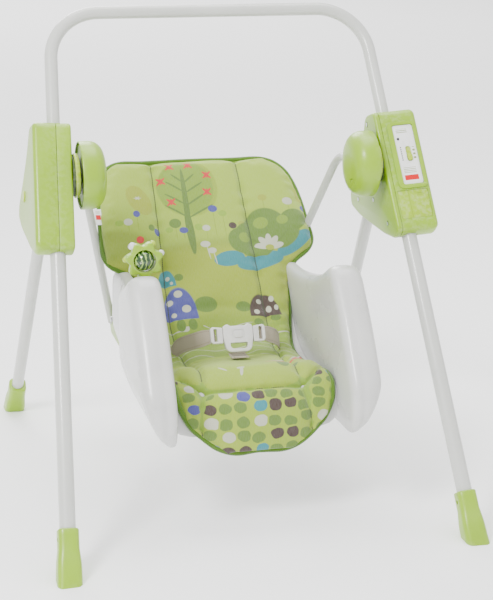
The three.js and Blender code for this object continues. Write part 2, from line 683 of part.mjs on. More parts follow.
// Flat strap along a path in space, its width laid across the given direction.
function strap(points, across, width, thickness) {
  const rings = points.map(([x, y, z], i) => {
    const here = new THREE.Vector3(x, y, z);
    const next = new THREE.Vector3(...points[Math.min(i + 1, points.length - 1)]);
    const last = new THREE.Vector3(...points[Math.max(i - 1, 0)]);
    const along = next.sub(last).normalize();
    const wide = new THREE.Vector3(...across).normalize();
    const thick = wide.clone().cross(along).normalize();
    const corner = (w, t) =>
      here.clone().addScaledVector(wide, (w * width) / 2).addScaledVector(thick, (t * thickness) / 2);
    return [corner(-1, 1), corner(1, 1), corner(1, -1), corner(-1, -1)];
  });
  return loft(rings);
}

function harness() {
  const lay = new THREE.Matrix4().makeRotationX(BUCKLE_TILT).setPosition(0, BUCKLE_Y, BUCKLE_Z);
  const laid = (geometry) => geometry.clone().applyMatrix4(lay);
  const body = box([-22.5, 22.5], [-6, 6], [-22, 20]);
  const mouth = box([22.5 - 15, 23.5], [-2.6, 2.6], [-2, 14]);
  const window = box([-13, 13], [-8, 8], [-17, -8]);
  place('buckle_body', laid(cut(body, mouth, mirrored(mouth), window)), WHITE_CLIP);
  for (const [label, side] of SIDES) {
    const frame = box([23, 41], [-4.5, 4.5], [-8, 17]);
    const tongue = box([9, 23.5], [-2, 2], [-1, 13]);
    const slot = box([31, 36.5], [-8, 8], [-5, 14]);
    placeSided(`${label}_buckle_clip`, side, laid(cut(join(frame, tongue), slot)), WHITE_CLIP);
    const belt = strap([[43, -110, 246], [60, -106, 243], [78, -103, 241], [97, -100, 240]],
      [0.1, 0.35, 0.94], 24, 2);
    placeSided(`${label}_waist_belt`, side, belt, WEBBING);
  }
  place('crotch_belt', strap([[0, -108, 220], [0, -117, 220.5], [0, -131, 222]], [1, 0, 0], 25, 2), WEBBING);
}

function toy() {
  const ringBasis = new THREE.Matrix4().setPosition(TOY_X, TOY_Y, TOY_Z);
  const hoop = new THREE.Shape(circle(TOY_R, 20).getPoints());
  hoop.holes.push(circle(BALL_R + 1.4, 20));
  let ring = new THREE.ExtrudeGeometry(hoop, { depth: 14, bevelEnabled: false }).translate(0, 0, -7);
  for (let knob = 0; knob < KNOBS; knob += 1) {
    const angle = (Math.PI * (knob - 0.5)) / (KNOBS - 2);
    const ball = new THREE.SphereGeometry(6, 8, 6).translate(
      (TOY_R + 2) * Math.cos(angle), (TOY_R + 2) * Math.sin(angle), 0);
    ring = join(ring, ball);
  }
  const upright = new THREE.Matrix4().makeRotationX(Math.PI / 2);
  const stem = box([-9, 9], [-6, 6], [-TOY_R - 1.2, -TOY_R + 3]);
  const pin = barX(1.5, -TOY_R + 4, TOY_R - 4, 0, 0, 10);
  place('toy_ring', join(ring.applyMatrix4(upright), stem, pin).applyMatrix4(ringBasis), LIME);
  const ball = cut(new THREE.SphereGeometry(BALL_R, 14, 9), barX(1.8, -40, 40, 0, 0, 10));
  place('toy_ball', ball.applyMatrix4(ringBasis), BALL);
}

function tag() {
  const { point, out } = spineAt(0.135);
  const up = new THREE.Vector3(0, out.z, -out.y);
  const cloth = box([-176, -164.5], [-14, 14], [-0.5, 0.5]);
  const basis = new THREE.Matrix4().makeBasis(new THREE.Vector3(1, 0, 0), up, out);
  basis.setPosition(point.clone().addScaledVector(out, -12));
  place('cover_tag', cloth.applyMatrix4(basis), LABEL);
}

legs();
place('handle_tube', handleTube(), WHITE_TUBE);
housings();
controls();
driveWorks();
motorWorks();
foldButtons();
hubs();
brackets();
place('seat_shell', seatShell(), WHITE_SHELL);
wings();
place('seat_pad', seatPad(), COVER);
harness();
toy();
tag();

export default swing;
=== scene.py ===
"""Looks of a folding baby swing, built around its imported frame.

Sizes are in millimetres until a piece is settled on its body; from then on they are in metres.
"""

from __future__ import annotations

import json
import logging
import math
from collections.abc import Callable, Iterable, Iterator, Sequence
from contextlib import contextmanager
from dataclasses import dataclass
from enum import Enum

import bmesh
import bpy
import numpy as np
from mathutils import Matrix, Vector

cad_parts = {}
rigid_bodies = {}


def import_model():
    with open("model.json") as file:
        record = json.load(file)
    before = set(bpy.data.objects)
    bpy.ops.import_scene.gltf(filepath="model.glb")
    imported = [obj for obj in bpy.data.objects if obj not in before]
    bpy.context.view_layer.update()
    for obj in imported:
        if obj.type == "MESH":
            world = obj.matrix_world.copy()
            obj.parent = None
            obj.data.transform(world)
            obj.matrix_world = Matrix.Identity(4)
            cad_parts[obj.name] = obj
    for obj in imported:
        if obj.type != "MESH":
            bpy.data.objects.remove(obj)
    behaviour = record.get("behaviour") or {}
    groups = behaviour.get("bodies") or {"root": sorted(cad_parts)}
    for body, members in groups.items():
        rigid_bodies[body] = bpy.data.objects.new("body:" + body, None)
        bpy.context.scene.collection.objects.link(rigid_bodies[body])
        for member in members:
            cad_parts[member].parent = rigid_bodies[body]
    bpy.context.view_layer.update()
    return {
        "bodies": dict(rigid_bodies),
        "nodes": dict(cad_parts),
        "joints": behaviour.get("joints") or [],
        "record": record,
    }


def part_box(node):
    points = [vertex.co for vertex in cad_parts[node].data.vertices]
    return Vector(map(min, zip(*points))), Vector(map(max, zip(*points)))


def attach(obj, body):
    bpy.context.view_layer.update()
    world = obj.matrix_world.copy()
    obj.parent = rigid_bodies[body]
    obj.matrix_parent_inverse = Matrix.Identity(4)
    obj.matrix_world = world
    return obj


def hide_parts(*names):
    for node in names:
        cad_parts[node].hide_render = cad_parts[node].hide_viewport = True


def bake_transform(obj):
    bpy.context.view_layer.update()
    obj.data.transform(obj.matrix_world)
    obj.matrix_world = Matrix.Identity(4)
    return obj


LOG = logging.getLogger("baby_swing")
METRE = 0.001
Rgb = tuple[float, float, float]
Corner = tuple[float, float, float]
Piece = bpy.types.Object
Socket = bpy.types.NodeSocket

# ---- the frame's driving dimensions, as in the part -------------------------------------------------

FOOT_X = 286.4
FOOT_Y = 350.4
SPLAY = math.atan(0.068)
LEG_RADIUS = 11.1
REAR_RADIUS = 9.5
HANGER_CORNERS = (Vector((202.5, -36.0, 482.0)), Vector((202.5, 58.0, 480.0)), Vector((133.6, 217.5, 186.0)))
RECLINE_PIN = (128.0, 216.0)
FRONT_SLOPE = 0.6153 * math.cos(SPLAY)
REAR_SLOPE = 0.7238 * math.cos(SPLAY)
PIVOT = Vector((0, -50, 485))
LEAN = Matrix.Translation((FOOT_X, 0, 0)) @ Matrix.Rotation(-SPLAY, 4, "Y")
MIRROR = Matrix.Scale(-1, 4, (1, 0, 0))
FACE_ON = Matrix(((0, 1, 0, 0), (-1, 0, 0, 0), (0, 0, 1, 0), (0, 0, 0, 1)))
RIGHT, LEFT = 1, -1
SIDES = (("left", LEFT), ("right", RIGHT))


def front_axis(z: float) -> Vector:
    """Point of the front leg's axis at a height, in the upright leg plane."""
    return Vector((0, -FOOT_Y + FRONT_SLOPE * z, z))


def rear_axis(z: float) -> Vector:
    """Point of the rear leg's axis at a height, in the upright leg plane."""
    return Vector((0, FOOT_Y - REAR_SLOPE * z, z))


FRONT_ALONG = (front_axis(1) - front_axis(0)).normalized()
REAR_ALONG = (rear_axis(1) - rear_axis(0)).normalized()
FRONT_AHEAD = Vector((0, -FRONT_ALONG.z, FRONT_ALONG.y))
FRONT_FACE = 24.0
SATURATION = 1.6
DEPTH = 0.68


def linear(red: int, green: int, blue: int) -> Rgb:
    """Linear colour of an eight-bit display colour, deepened a little for the bright studio.

    Args:
        red: Red, 0 to 255.
        green: Green, 0 to 255.
        blue: Blue, 0 to 255.

    Returns:
        The three linear channels.
    """
    def channel(value: int) -> float:
        """One channel, taken out of display gamma."""
        part = value / 255
        return part / 12.92 if part <= 0.04045 else ((part + 0.055) / 1.055) ** 2.4
    plain = channel(red), channel(green), channel(blue)
    grey = sum(plain) / 3
    return tuple(max(0.0, DEPTH * (grey + SATURATION * (part - grey))) for part in plain)


# ---- node work --------------------------------------------------------------------------------------


class Graph:
    """A shader node tree with short ways to add and link nodes."""

    def __init__(self, tree: bpy.types.NodeTree) -> None:
        """Wraps a tree."""
        self.tree = tree

    def add(self, kind: str, **settings: object) -> bpy.types.Node:
        """Adds a node and sets its properties.

        Args:
            kind: The node's type name, without the ShaderNode in front.
            **settings: Properties of the node.

        Returns:
            The new node.
        """
        node = self.tree.nodes.new("ShaderNode" + kind)
        for name, value in settings.items():
            setattr(node, name, value)
        return node

    def feed(self, target: Socket, value: object) -> None:
        """Links a socket to the target, or sets the target to a plain value."""
        if isinstance(value, Socket):
            self.tree.links.new(value, target)
        elif isinstance(value, tuple) and len(value) == 3 and target.type == "RGBA":
            target.default_value = (*value, 1.0)
        else:
            target.default_value = value

    def give(self, node: bpy.types.Node, **values: object) -> None:
        """Feeds a node's inputs, by name with _ for each space."""
        for name, value in values.items():
            self.feed(node.inputs[name.replace("_", " ").title()], value)

    def math(self, operation: str, *values: object, clamp: bool = False) -> Socket:
        """Result of a Math node.

        Args:
            operation: The operation's name.
            *values: Sockets or numbers for its inputs.
            clamp: Whether the result is held between 0 and 1.

        Returns:
            The node's output.
        """
        node = self.add("Math", operation=operation, use_clamp=clamp)
        for socket, value in zip(node.inputs, values):
            self.feed(socket, value)
        return node.outputs[0]

    def vector(self, operation: str, *values: object) -> bpy.types.Node:
        """A Vector Math node, fed with the values."""
        node = self.add("VectorMath", operation=operation)
        for socket, value in zip(node.inputs, values):
            self.feed(socket, value)
        return node

    def split(self, vector: object) -> bpy.types.Node:
        """A node that parts a vector into its three numbers."""
        node = self.add("SeparateXYZ")
        self.feed(node.inputs[0], vector)
        return node

    def dashes(self, value: object, pitch: float, share: float) -> Socket:
        """1 over the first share of each pitch of a value, and 0 over the rest."""
        return self.math("LESS_THAN", self.math("FRACT", self.math("DIVIDE", value, pitch)), share)

    def ramp(self, value: object, low: float, high: float, start: float = 0.0, end: float = 1.0) -> Socket:
        """Smooth step of a value from start at low to end at high."""
        node = self.add("MapRange", interpolation_type="SMOOTHSTEP")
        for name, part in (("Value", value), ("From Min", low), ("From Max", high), ("To Min", start),
                           ("To Max", end)):
            self.feed(node.inputs[name], part)
        return node.outputs[0]

    def mix(self, share: object, first: object, second: object, blend: str = "MIX") -> Socket:
        """Colour between two colours.

        Args:
            share: How much of the second colour.
            first: The first colour.
            second: The second colour.
            blend: The way they are mixed.

        Returns:
            The mixed colour.
        """
        node = self.add("Mix", data_type="RGBA", blend_type=blend)
        self.feed(node.inputs[0], share)
        self.feed(node.inputs[6], first)
        self.feed(node.inputs[7], second)
        return node.outputs[2]

    def noise(self, vector: object, scale: float, detail: float = 3.0,
              stretch: tuple | None = None) -> Socket:
        """Noise value over a vector, stretched along its axes if asked."""
        if stretch is not None:
            mapping = self.add("Mapping")
            self.give(mapping, vector=vector, scale=stretch)
            vector = mapping.outputs[0]
        node = self.add("TexNoise")
        self.give(node, vector=vector, scale=scale, detail=detail)
        return node.outputs["Fac"]

    def bump(self, height: object, distance: float, strength: float = 1.0, normal: object = None) -> Socket:
        """Normal of a bump of the given height."""
        node = self.add("Bump")
        self.give(node, strength=strength, distance=distance, height=height)
        if normal is not None:
            self.feed(node.inputs["Normal"], normal)
        return node.outputs[0]


class Effect(Enum):
    """Shared effects, each one shader node group."""

    GRAIN = "moulded_grain"
    WEAVE = "thread_weave"
    # paler convex edges: partly worn, partly a painted highlight
    RUB_AND_HIGHLIGHT = "edge_wear"
    DUST = "settled_dust"
    SPOT = "printed_spot"


class Effects:
    """Builds each shared node group once and places it in materials."""

    def __init__(self) -> None:
        """Starts with no group built."""
        self.built: dict[Effect, bpy.types.NodeTree] = {}
        self.makers: dict[Effect, Callable[[bpy.types.NodeTree], None]] = {
            Effect.GRAIN: self.make_grain,
            Effect.WEAVE: self.make_weave,
            Effect.RUB_AND_HIGHLIGHT: self.make_rub_and_highlight,
            Effect.DUST: self.make_dust,
            Effect.SPOT: self.make_spot,
        }

    def place(self, graph: Graph, effect: Effect, **values: object) -> bpy.types.Node:
        """Places an effect's group in a material.

        Args:
            graph: The material's graph.
            effect: Which effect.
            **values: Its inputs, by name with _ for each space.

        Returns:
            The group node.
        """
        if effect not in self.built:
            tree = bpy.data.node_groups.new(effect.value, "ShaderNodeTree")
            self.makers[effect](tree)
            self.built[effect] = tree
        node = graph.add("Group")
        node.node_tree = self.built[effect]
        graph.give(node, **values)
        return node

    @staticmethod
    def sockets(tree: bpy.types.NodeTree, ins: dict[str, str],
                outs: dict[str, str]) -> tuple[Graph, object, object]:
        """Gives a group its sockets.

        Args:
            tree: The group.
            ins: Input names and kinds.
            outs: Output names and kinds.

        Returns:
            The group's graph, its input sockets and its output node's inputs.
        """
        for where, names in (("INPUT", ins), ("OUTPUT", outs)):
            for name, kind in names.items():
                tree.interface.new_socket(name, in_out=where, socket_type="NodeSocket" + kind)
        entry, leave = tree.nodes.new("NodeGroupInput"), tree.nodes.new("NodeGroupOutput")
        return Graph(tree), entry.outputs, leave.inputs

    def make_grain(self, tree: bpy.types.NodeTree) -> None:
        """Fine spark-eroded texture of moulded plastic, with slow flow marks."""
        graph, given, out = self.sockets(tree, {"Vector": "Vector", "Scale": "Float"},
                                         {"Height": "Float", "Mottle": "Float"})
        fine = graph.add("TexNoise")
        graph.give(fine, detail=2.0, vector=given["Vector"], scale=given["Scale"])
        slow = graph.noise(given["Vector"], 9.0, 4.0)
        graph.feed(out["Height"], fine.outputs["Fac"])
        graph.feed(out["Mottle"], graph.ramp(slow, 0.35, 0.65))

    def make_weave(self, tree: bpy.types.NodeTree) -> None:
        """Plain weave: threads over and under, each a little different."""
        graph, given, out = self.sockets(tree, {"Vector": "Vector", "Pitch": "Float"},
                                         {"Height": "Float", "Thread": "Float"})
        parts = graph.split(given["Vector"])
        turns = [graph.math("DIVIDE", graph.math("MULTIPLY", parts.outputs[i], math.pi), given["Pitch"])
                 for i in (0, 1)]
        warp, weft = (graph.math("ABSOLUTE", graph.math("SINE", turn)) for turn in turns)
        halves = [graph.math("MULTIPLY", turn, 0.5) for turn in turns]
        check = graph.math("MULTIPLY", graph.math("SINE", halves[0]), graph.math("SINE", halves[1]))
        over = graph.ramp(check, -0.2, 0.2)
        both = graph.add("Mix", data_type="FLOAT")
        for socket, value in zip((both.inputs[0], both.inputs[2], both.inputs[3]), (over, warp, weft)):
            graph.feed(socket, value)
        graph.feed(out["Height"], both.outputs[0])
        graph.feed(out["Thread"], graph.noise(given["Vector"], 900.0, 1.0, stretch=(1.0, 0.15, 1.0)))

    def make_rub_and_highlight(self, tree: bpy.types.NodeTree) -> None:
        """Convex edges made paler, broken up by noise: partly worn, partly a painted highlight."""
        graph, given, out = self.sockets(tree, {"Vector": "Vector"}, {"Edge": "Float"})
        pointed = graph.add("NewGeometry").outputs["Pointiness"]
        broken = graph.noise(given["Vector"], 160.0, 5.0)
        edge = graph.ramp(pointed, 0.515, 0.58)
        graph.feed(out["Edge"], graph.math("MULTIPLY", edge, graph.ramp(broken, 0.4, 0.6), clamp=True))

    def make_dust(self, tree: bpy.types.NodeTree) -> None:
        """A light film that settles on faces that look up."""
        graph, given, out = self.sockets(tree, {"Vector": "Vector"}, {"Film": "Float"})
        parts = graph.split(graph.add("NewGeometry").outputs["Normal"])
        upward = graph.ramp(parts.outputs[2], 0.3, 1.0)
        patches = graph.ramp(graph.noise(given["Vector"], 34.0, 6.0), 0.35, 0.75)
        graph.feed(out["Film"], graph.math("MULTIPLY", upward, patches))

    def make_spot(self, tree: bpy.types.NodeTree) -> None:
        """One oval of ink over the cloth, turned, and cut level at its foot."""
        graph, given, out = self.sockets(
            tree,
            {"Cloth": "Color", "Ink": "Color", "Point": "Vector", "Centre": "Vector", "Reach": "Vector",
             "Turn": "Float", "Foot": "Float"},
            {"Print": "Color"})
        away = graph.vector("SUBTRACT", given["Point"], given["Centre"])
        turned = graph.add("VectorRotate", rotation_type="Z_AXIS")
        graph.give(turned, vector=away.outputs[0], angle=given["Turn"])
        share = graph.vector("DIVIDE", turned.outputs[0], given["Reach"])
        length = graph.vector("LENGTH", share.outputs[0])
        inside = graph.ramp(length.outputs["Value"], 1.04, 0.96)
        parts = graph.split(given["Point"])
        above = graph.math("LESS_THAN", parts.outputs[1], given["Foot"])
        graph.feed(out["Print"], graph.mix(graph.math("MULTIPLY", inside, above), given["Cloth"],
                                           given["Ink"]))


EFFECTS = Effects()


def new_material(name: str) -> tuple[bpy.types.Material, Graph, bpy.types.Node]:
    """A material with one Principled shader.

    Args:
        name: The material's name.

    Returns:
        The material, its graph and the shader node.
    """
    material = bpy.data.materials.new(name)
    material.use_nodes = True
    shader = next(n for n in material.node_tree.nodes if n.type == "BSDF_PRINCIPLED")
    return material, Graph(material.node_tree), shader


@dataclass(frozen=True)
class Plastic:
    """Moulded plastic: fine grain, soft flow marks, paler edges that are partly worn and partly painted
    highlight, and a trace of dust.
    """

    name: str
    colour: Rgb
    roughness: float = 0.36
    grain: float = 1500.0
    depth: float = 0.00005
    coat: float = 0.0
    scatter: float = 0.0

    def build(self) -> bpy.types.Material:
        """Returns the material."""
        material, graph, shader = new_material(self.name)
        place = graph.add("TexCoord").outputs["Object"]
        grain = EFFECTS.place(graph, Effect.GRAIN, vector=place, scale=self.grain)
        rub_and_highlight = EFFECTS.place(graph, Effect.RUB_AND_HIGHLIGHT, vector=place)
        dust = EFFECTS.place(graph, Effect.DUST, vector=place)
        deep = tuple(c * 0.90 for c in self.colour)
        pale = tuple(min(1.0, c * 0.8 + 0.16) for c in self.colour)
        base = graph.mix(grain.outputs["Mottle"], deep, self.colour)
        # painted highlight, partly worn edges: convex edges are lightened towards the pale colour
        rubbed_and_highlit = graph.mix(graph.math("MULTIPLY", rub_and_highlight.outputs["Edge"], 0.55), base, pale)
        film = graph.math("MULTIPLY", dust.outputs["Film"], 0.06)
        graph.feed(shader.inputs["Base Color"], graph.mix(film, rubbed_and_highlit, (0.75, 0.74, 0.70)))
        shine = graph.math("MULTIPLY_ADD", grain.outputs["Mottle"], 0.06, self.roughness - 0.03)
        graph.give(shader, roughness=graph.math("MULTIPLY_ADD", dust.outputs["Film"], 0.10, shine),
                   normal=graph.bump(grain.outputs["Height"], self.depth), coat_weight=self.coat,
                   coat_roughness=0.12, subsurface_weight=self.scatter,
                   subsurface_radius=(0.004, 0.004, 0.002))
        return material


@dataclass(frozen=True)
class PowderCoat:
    """Painted tube: orange peel, and small scuffs that dull the gloss."""

    name: str
    colour: Rgb
    roughness: float = 0.30

    def build(self) -> bpy.types.Material:
        """Returns the material."""
        material, graph, shader = new_material(self.name)
        place = graph.add("TexCoord").outputs["Object"]
        peel = EFFECTS.place(graph, Effect.GRAIN, vector=place, scale=520.0)
        dust = EFFECTS.place(graph, Effect.DUST, vector=place)
        scuffs = graph.ramp(graph.noise(place, 46.0, 8.0, stretch=(1.0, 1.0, 0.2)), 0.60, 0.72)
        shade = tuple(c * 0.95 for c in self.colour)
        base = graph.mix(peel.outputs["Mottle"], shade, self.colour)
        scuffed = graph.mix(graph.math("MULTIPLY", scuffs, 0.10), base, (0.42, 0.42, 0.40))
        film = graph.math("MULTIPLY", dust.outputs["Film"], 0.05)
        graph.give(shader, base_color=graph.mix(film, scuffed, (0.62, 0.60, 0.56)),
                   roughness=graph.math("MULTIPLY_ADD", scuffs, 0.20, self.roughness),
                   normal=graph.bump(peel.outputs["Height"], 0.00006), coat_weight=0.35,
                   coat_roughness=0.10)
        return material


@dataclass(frozen=True)
class Metal:
    """Bare metal with fine turning marks across X."""

    name: str
    colour: Rgb
    roughness: float = 0.28

    def build(self) -> bpy.types.Material:
        """Returns the material."""
        material, graph, shader = new_material(self.name)
        place = graph.add("TexCoord").outputs["Object"]
        marks = graph.noise(place, 90.0, 6.0, stretch=(22.0, 1.0, 1.0))
        graph.give(shader, base_color=graph.mix(marks, tuple(c * 0.8 for c in self.colour), self.colour),
                   roughness=graph.math("MULTIPLY_ADD", marks, 0.18, self.roughness - 0.09),
                   normal=graph.bump(marks, 0.00004), metallic=1.0)
        return material


@dataclass(frozen=True)
class Woven:
    """Woven strap or binding: visible threads, ribs and fuzz, with painted shade in the weave's hollows. It
    reads the piece's own cloth map.
    """

    name: str
    colour: Rgb
    pitch: float = 0.0011
    depth: float = 0.00035
    variation: float = 0.22
    stitched_at: tuple[float, ...] = ()
    thread: Rgb = (0.1, 0.1, 0.1)

    def build(self) -> bpy.types.Material:
        """Returns the material."""
        material, graph, shader = new_material(self.name)
        place = graph.add("UVMap", uv_map="cloth").outputs[0]
        weave = EFFECTS.place(graph, Effect.WEAVE, vector=place, pitch=self.pitch)
        deep = tuple(c * (1 - self.variation * 1.6) for c in self.colour)
        # painted shade: the weave's low parts are darker, following its height
        base = graph.mix(weave.outputs["Height"], deep, self.colour)
        varied = graph.mix(graph.math("MULTIPLY", weave.outputs["Thread"], self.variation), base,
                           tuple(min(1.0, c * 1.3) for c in self.colour))
        height = weave.outputs["Height"]
        for along in self.stitched_at:
            parts = graph.split(place)
            gap = graph.math("ABSOLUTE", graph.math("SUBTRACT", parts.outputs[0], along))
            line = graph.math("LESS_THAN", gap, 0.0006)
            dash = graph.dashes(parts.outputs[1], 0.0036, 0.72)
            seen = graph.math("MULTIPLY", line, dash)
            varied = graph.mix(seen, varied, self.thread)
            height = graph.math("SUBTRACT", height, graph.math("MULTIPLY", line, 0.8))
        graph.give(shader, base_color=varied, normal=graph.bump(height, self.depth), roughness=0.88,
                   sheen_weight=0.25, sheen_roughness=0.45)
        return material


# ---- the bench: modelling steps ---------------------------------------------------------------------


class Pick(Enum):
    """What an edit step selects."""

    EDGE = "EDGE"
    FACE = "FACE"


class Bench:
    """Modelling steps. Each one starts with nothing else selected."""

    @staticmethod
    def take(*objects: Piece) -> None:
        """Selects these objects alone, the first one active."""
        for other in bpy.context.selected_objects:
            other.select_set(False)
        for item in objects:
            item.select_set(True)
        bpy.context.view_layer.objects.active = objects[0]

    @staticmethod
    def clear() -> None:
        """Deselects everything."""
        for other in bpy.context.selected_objects:
            other.select_set(False)

    @staticmethod
    @contextmanager
    def editing(piece: Piece) -> Iterator[None]:
        """Edit mode on one piece."""
        Bench.take(piece)
        bpy.ops.object.mode_set(mode="EDIT")
        yield
        bpy.ops.object.mode_set(mode="OBJECT")

    @staticmethod
    def named(name: str) -> Piece:
        """Names the new primitive and puts its place into its mesh."""
        piece = bpy.context.object
        piece.name = piece.data.name = name
        Bench.take(piece)
        bpy.ops.object.transform_apply(location=True, rotation=True, scale=True)
        return piece

    @staticmethod
    def pick(piece: Piece, what: Pick, test: Callable[[list[Vector]], bool]) -> int:
        """Selects the parts of a piece in edit mode that pass a test.

        Args:
            piece: The piece being edited.
            what: Edges or faces.
            test: Takes the corner points of a part.

        Returns:
            How many parts are selected.
        """
        bpy.ops.mesh.select_mode(type=what.value)
        bpy.ops.mesh.select_all(action="DESELECT")
        mesh = bmesh.from_edit_mesh(piece.data)
        count = 0
        for part in mesh.edges if what is Pick.EDGE else mesh.faces:
            if test([v.co for v in part.verts]):
                part.select_set(True)
                count += 1
        mesh.select_flush_mode()
        bmesh.update_edit_mesh(piece.data)
        return count

    @staticmethod
    def modify(piece: Piece, kind: str, **settings: object) -> None:
        """Adds a modifier with its settings and applies it."""
        Bench.take(piece)
        modifier = piece.modifiers.new(kind.lower(), kind)
        for name, value in settings.items():
            setattr(modifier, name, value)
        bpy.ops.object.modifier_apply(modifier=modifier.name)

    @staticmethod
    def carve(piece: Piece, *cutters: Piece, operation: str = "DIFFERENCE") -> None:
        """Cuts (or joins, or keeps) with each cutter, and throws the cutter away."""
        for cutter in cutters:
            Bench.modify(piece, "BOOLEAN", object=cutter, operation=operation, solver="EXACT")
            bpy.data.objects.remove(cutter)

    @staticmethod
    def weld(piece: Piece, gap: float = 0.02) -> None:
        """Merges doubles and points every face outwards."""
        with Bench.editing(piece):
            bpy.ops.mesh.select_all(action="SELECT")
            bpy.ops.mesh.remove_doubles(threshold=gap)
            bpy.ops.mesh.normals_make_consistent(inside=False)

    @staticmethod
    def soften(piece: Piece, test: Callable[[list[Vector]], bool], width: float, steps: int = 3) -> None:
        """Rounds the edges that pass a test."""
        with Bench.editing(piece):
            if Bench.pick(piece, Pick.EDGE, test):
                bpy.ops.mesh.bevel(offset=width, segments=steps, profile=0.5, affect="EDGES",
                                   clamp_overlap=True)

    @staticmethod
    def prism(name: str, loop: Sequence[tuple[float, float]], x0: float, x1: float) -> Piece:
        """Solid with a (y, z) outline and its depth along X.

        Args:
            name: The piece's name.
            loop: The outline's points.
            x0: Where it starts.
            x1: Where it ends.

        Returns:
            The piece.
        """
        Bench.clear()
        bpy.ops.mesh.primitive_circle_add(vertices=len(loop), radius=1, fill_type="NGON")
        piece = Bench.named(name)
        for vertex, (y, z) in zip(piece.data.vertices, loop):
            vertex.co = (x0, y, z)
        with Bench.editing(piece):
            bpy.ops.mesh.select_all(action="SELECT")
            bpy.ops.mesh.extrude_region_move(TRANSFORM_OT_translate={"value": (x1 - x0, 0, 0)})
            bpy.ops.mesh.select_all(action="SELECT")
            bpy.ops.mesh.normals_make_consistent(inside=False)
        return piece

    @staticmethod
    def rod(name: str, start: Vector, end: Vector, radius: float, sides: int = 32) -> Piece:
        """Round bar from one point to another."""
        Bench.clear()
        run = end - start
        bpy.ops.mesh.primitive_cylinder_add(
            vertices=sides, radius=radius, depth=run.length, location=(start + end) / 2,
            rotation=run.to_track_quat("Z", "Y").to_euler())
        return Bench.named(name)

    @staticmethod
    def block(name: str, low: Sequence[float], high: Sequence[float], rounding: float = 0.0,
              steps: int = 3) -> Piece:
        """Box between two corners, with its edges rounded."""
        Bench.clear()
        middle = [(a + b) / 2 for a, b in zip(low, high)]
        bpy.ops.mesh.primitive_cube_add(size=1, location=middle, scale=[b - a for a, b in zip(low, high)])
        piece = Bench.named(name)
        if rounding > 0:
            Bench.soften(piece, lambda points: True, rounding, steps)
        return piece

    @staticmethod
    def tube(name: str, corners: Sequence[tuple[Vector, float]], radius: float, sides: int = 36) -> Piece:
        """Bent tube with closed ends: a ring is drawn along the straights and spun round the bends.

        Args:
            name: The piece's name.
            corners: Corner points, each with its bend radius.
            radius: The tube's radius.
            sides: Sides of its section.

        Returns:
            The piece.
        """
        Bench.clear()
        start, heading = corners[0][0], (corners[1][0] - corners[0][0]).normalized()
        bpy.ops.mesh.primitive_circle_add(
            vertices=sides, radius=radius, fill_type="NGON", location=start,
            rotation=heading.to_track_quat("Z", "Y").to_euler())
        piece = Bench.named(name)
        here = start.copy()
        with Bench.editing(piece):
            bpy.ops.mesh.select_mode(type="FACE")
            bpy.ops.mesh.select_all(action="SELECT")
            for (corner, bend), (after, _) in zip(corners[1:], [*corners[2:], (None, 0.0)]):
                if after is None:
                    Bench.draw_out(corner - here)
                    break
                ahead = (after - corner).normalized()
                turn = heading.angle(ahead)
                reach = bend * math.tan(turn / 2)
                arc_start = corner - heading * reach
                Bench.draw_out(arc_start - here)
                axis = heading.cross(ahead).normalized()
                centre = arc_start + axis.cross(heading) * bend
                bpy.ops.mesh.spin(steps=max(4, int(math.degrees(turn) / 5)), angle=-turn, center=centre,
                                  axis=axis)
                here = corner + ahead * reach
                heading = ahead
        Bench.drop_inner_faces(piece)
        Bench.weld(piece)
        return piece

    @staticmethod
    def draw_out(step: Vector) -> None:
        """Extrudes the selected ring by a step."""
        bpy.ops.mesh.extrude_region_move(TRANSFORM_OT_translate={"value": step})

    @staticmethod
    def drop_inner_faces(piece: Piece) -> None:
        """Removes rings' end faces that ended up inside the tube."""
        mesh = bmesh.new()
        mesh.from_mesh(piece.data)
        inner = [f for f in mesh.faces if all(len(e.link_faces) > 2 for e in f.edges)]
        bmesh.ops.delete(mesh, geom=inner, context="FACES_ONLY")
        mesh.to_mesh(piece.data)
        mesh.free()

    @staticmethod
    def turned(name: str, profile: Sequence[tuple[float, float]], middle: Vector, steps: int = 64) -> Piece:
        """Turned piece about an axis along X.

        Args:
            name: The piece's name.
            profile: (radius, x) points.
            middle: A point on the axis, whose x is added to the profile's.
            steps: Steps of the turn.

        Returns:
            The piece.
        """
        Bench.clear()
        bpy.ops.mesh.primitive_circle_add(vertices=len(profile), radius=1, fill_type="NOTHING")
        piece = Bench.named(name)
        for vertex, (radius, x) in zip(piece.data.vertices, profile):
            vertex.co = (middle.x + x, middle.y, middle.z + radius)
        with Bench.editing(piece):
            bpy.ops.mesh.select_all(action="SELECT")
            bpy.ops.mesh.spin(steps=steps, angle=2 * math.pi, center=middle, axis=(1, 0, 0))
        Bench.weld(piece, 0.05)
        return piece

    @staticmethod
    def copied(piece: Piece, name: str, change: Matrix) -> Piece:
        """Copy of a piece with its own mesh, moved by a matrix."""
        Bench.take(piece)
        bpy.ops.object.duplicate()
        twin = bpy.context.object
        twin.name = twin.data.name = name
        Bench.move(twin, change)
        return twin

    @staticmethod
    def move(piece: Piece, change: Matrix) -> None:
        """Moves a piece's mesh by a matrix, and keeps its faces outward if that mirrors it."""
        piece.data.transform(change)
        if change.determinant() < 0:
            piece.data.flip_normals()

    @staticmethod
    def joined(first: Piece, *others: Piece) -> Piece:
        """Joins separate bodies into the first piece's object."""
        Bench.take(first, *others)
        bpy.ops.object.join()
        return first


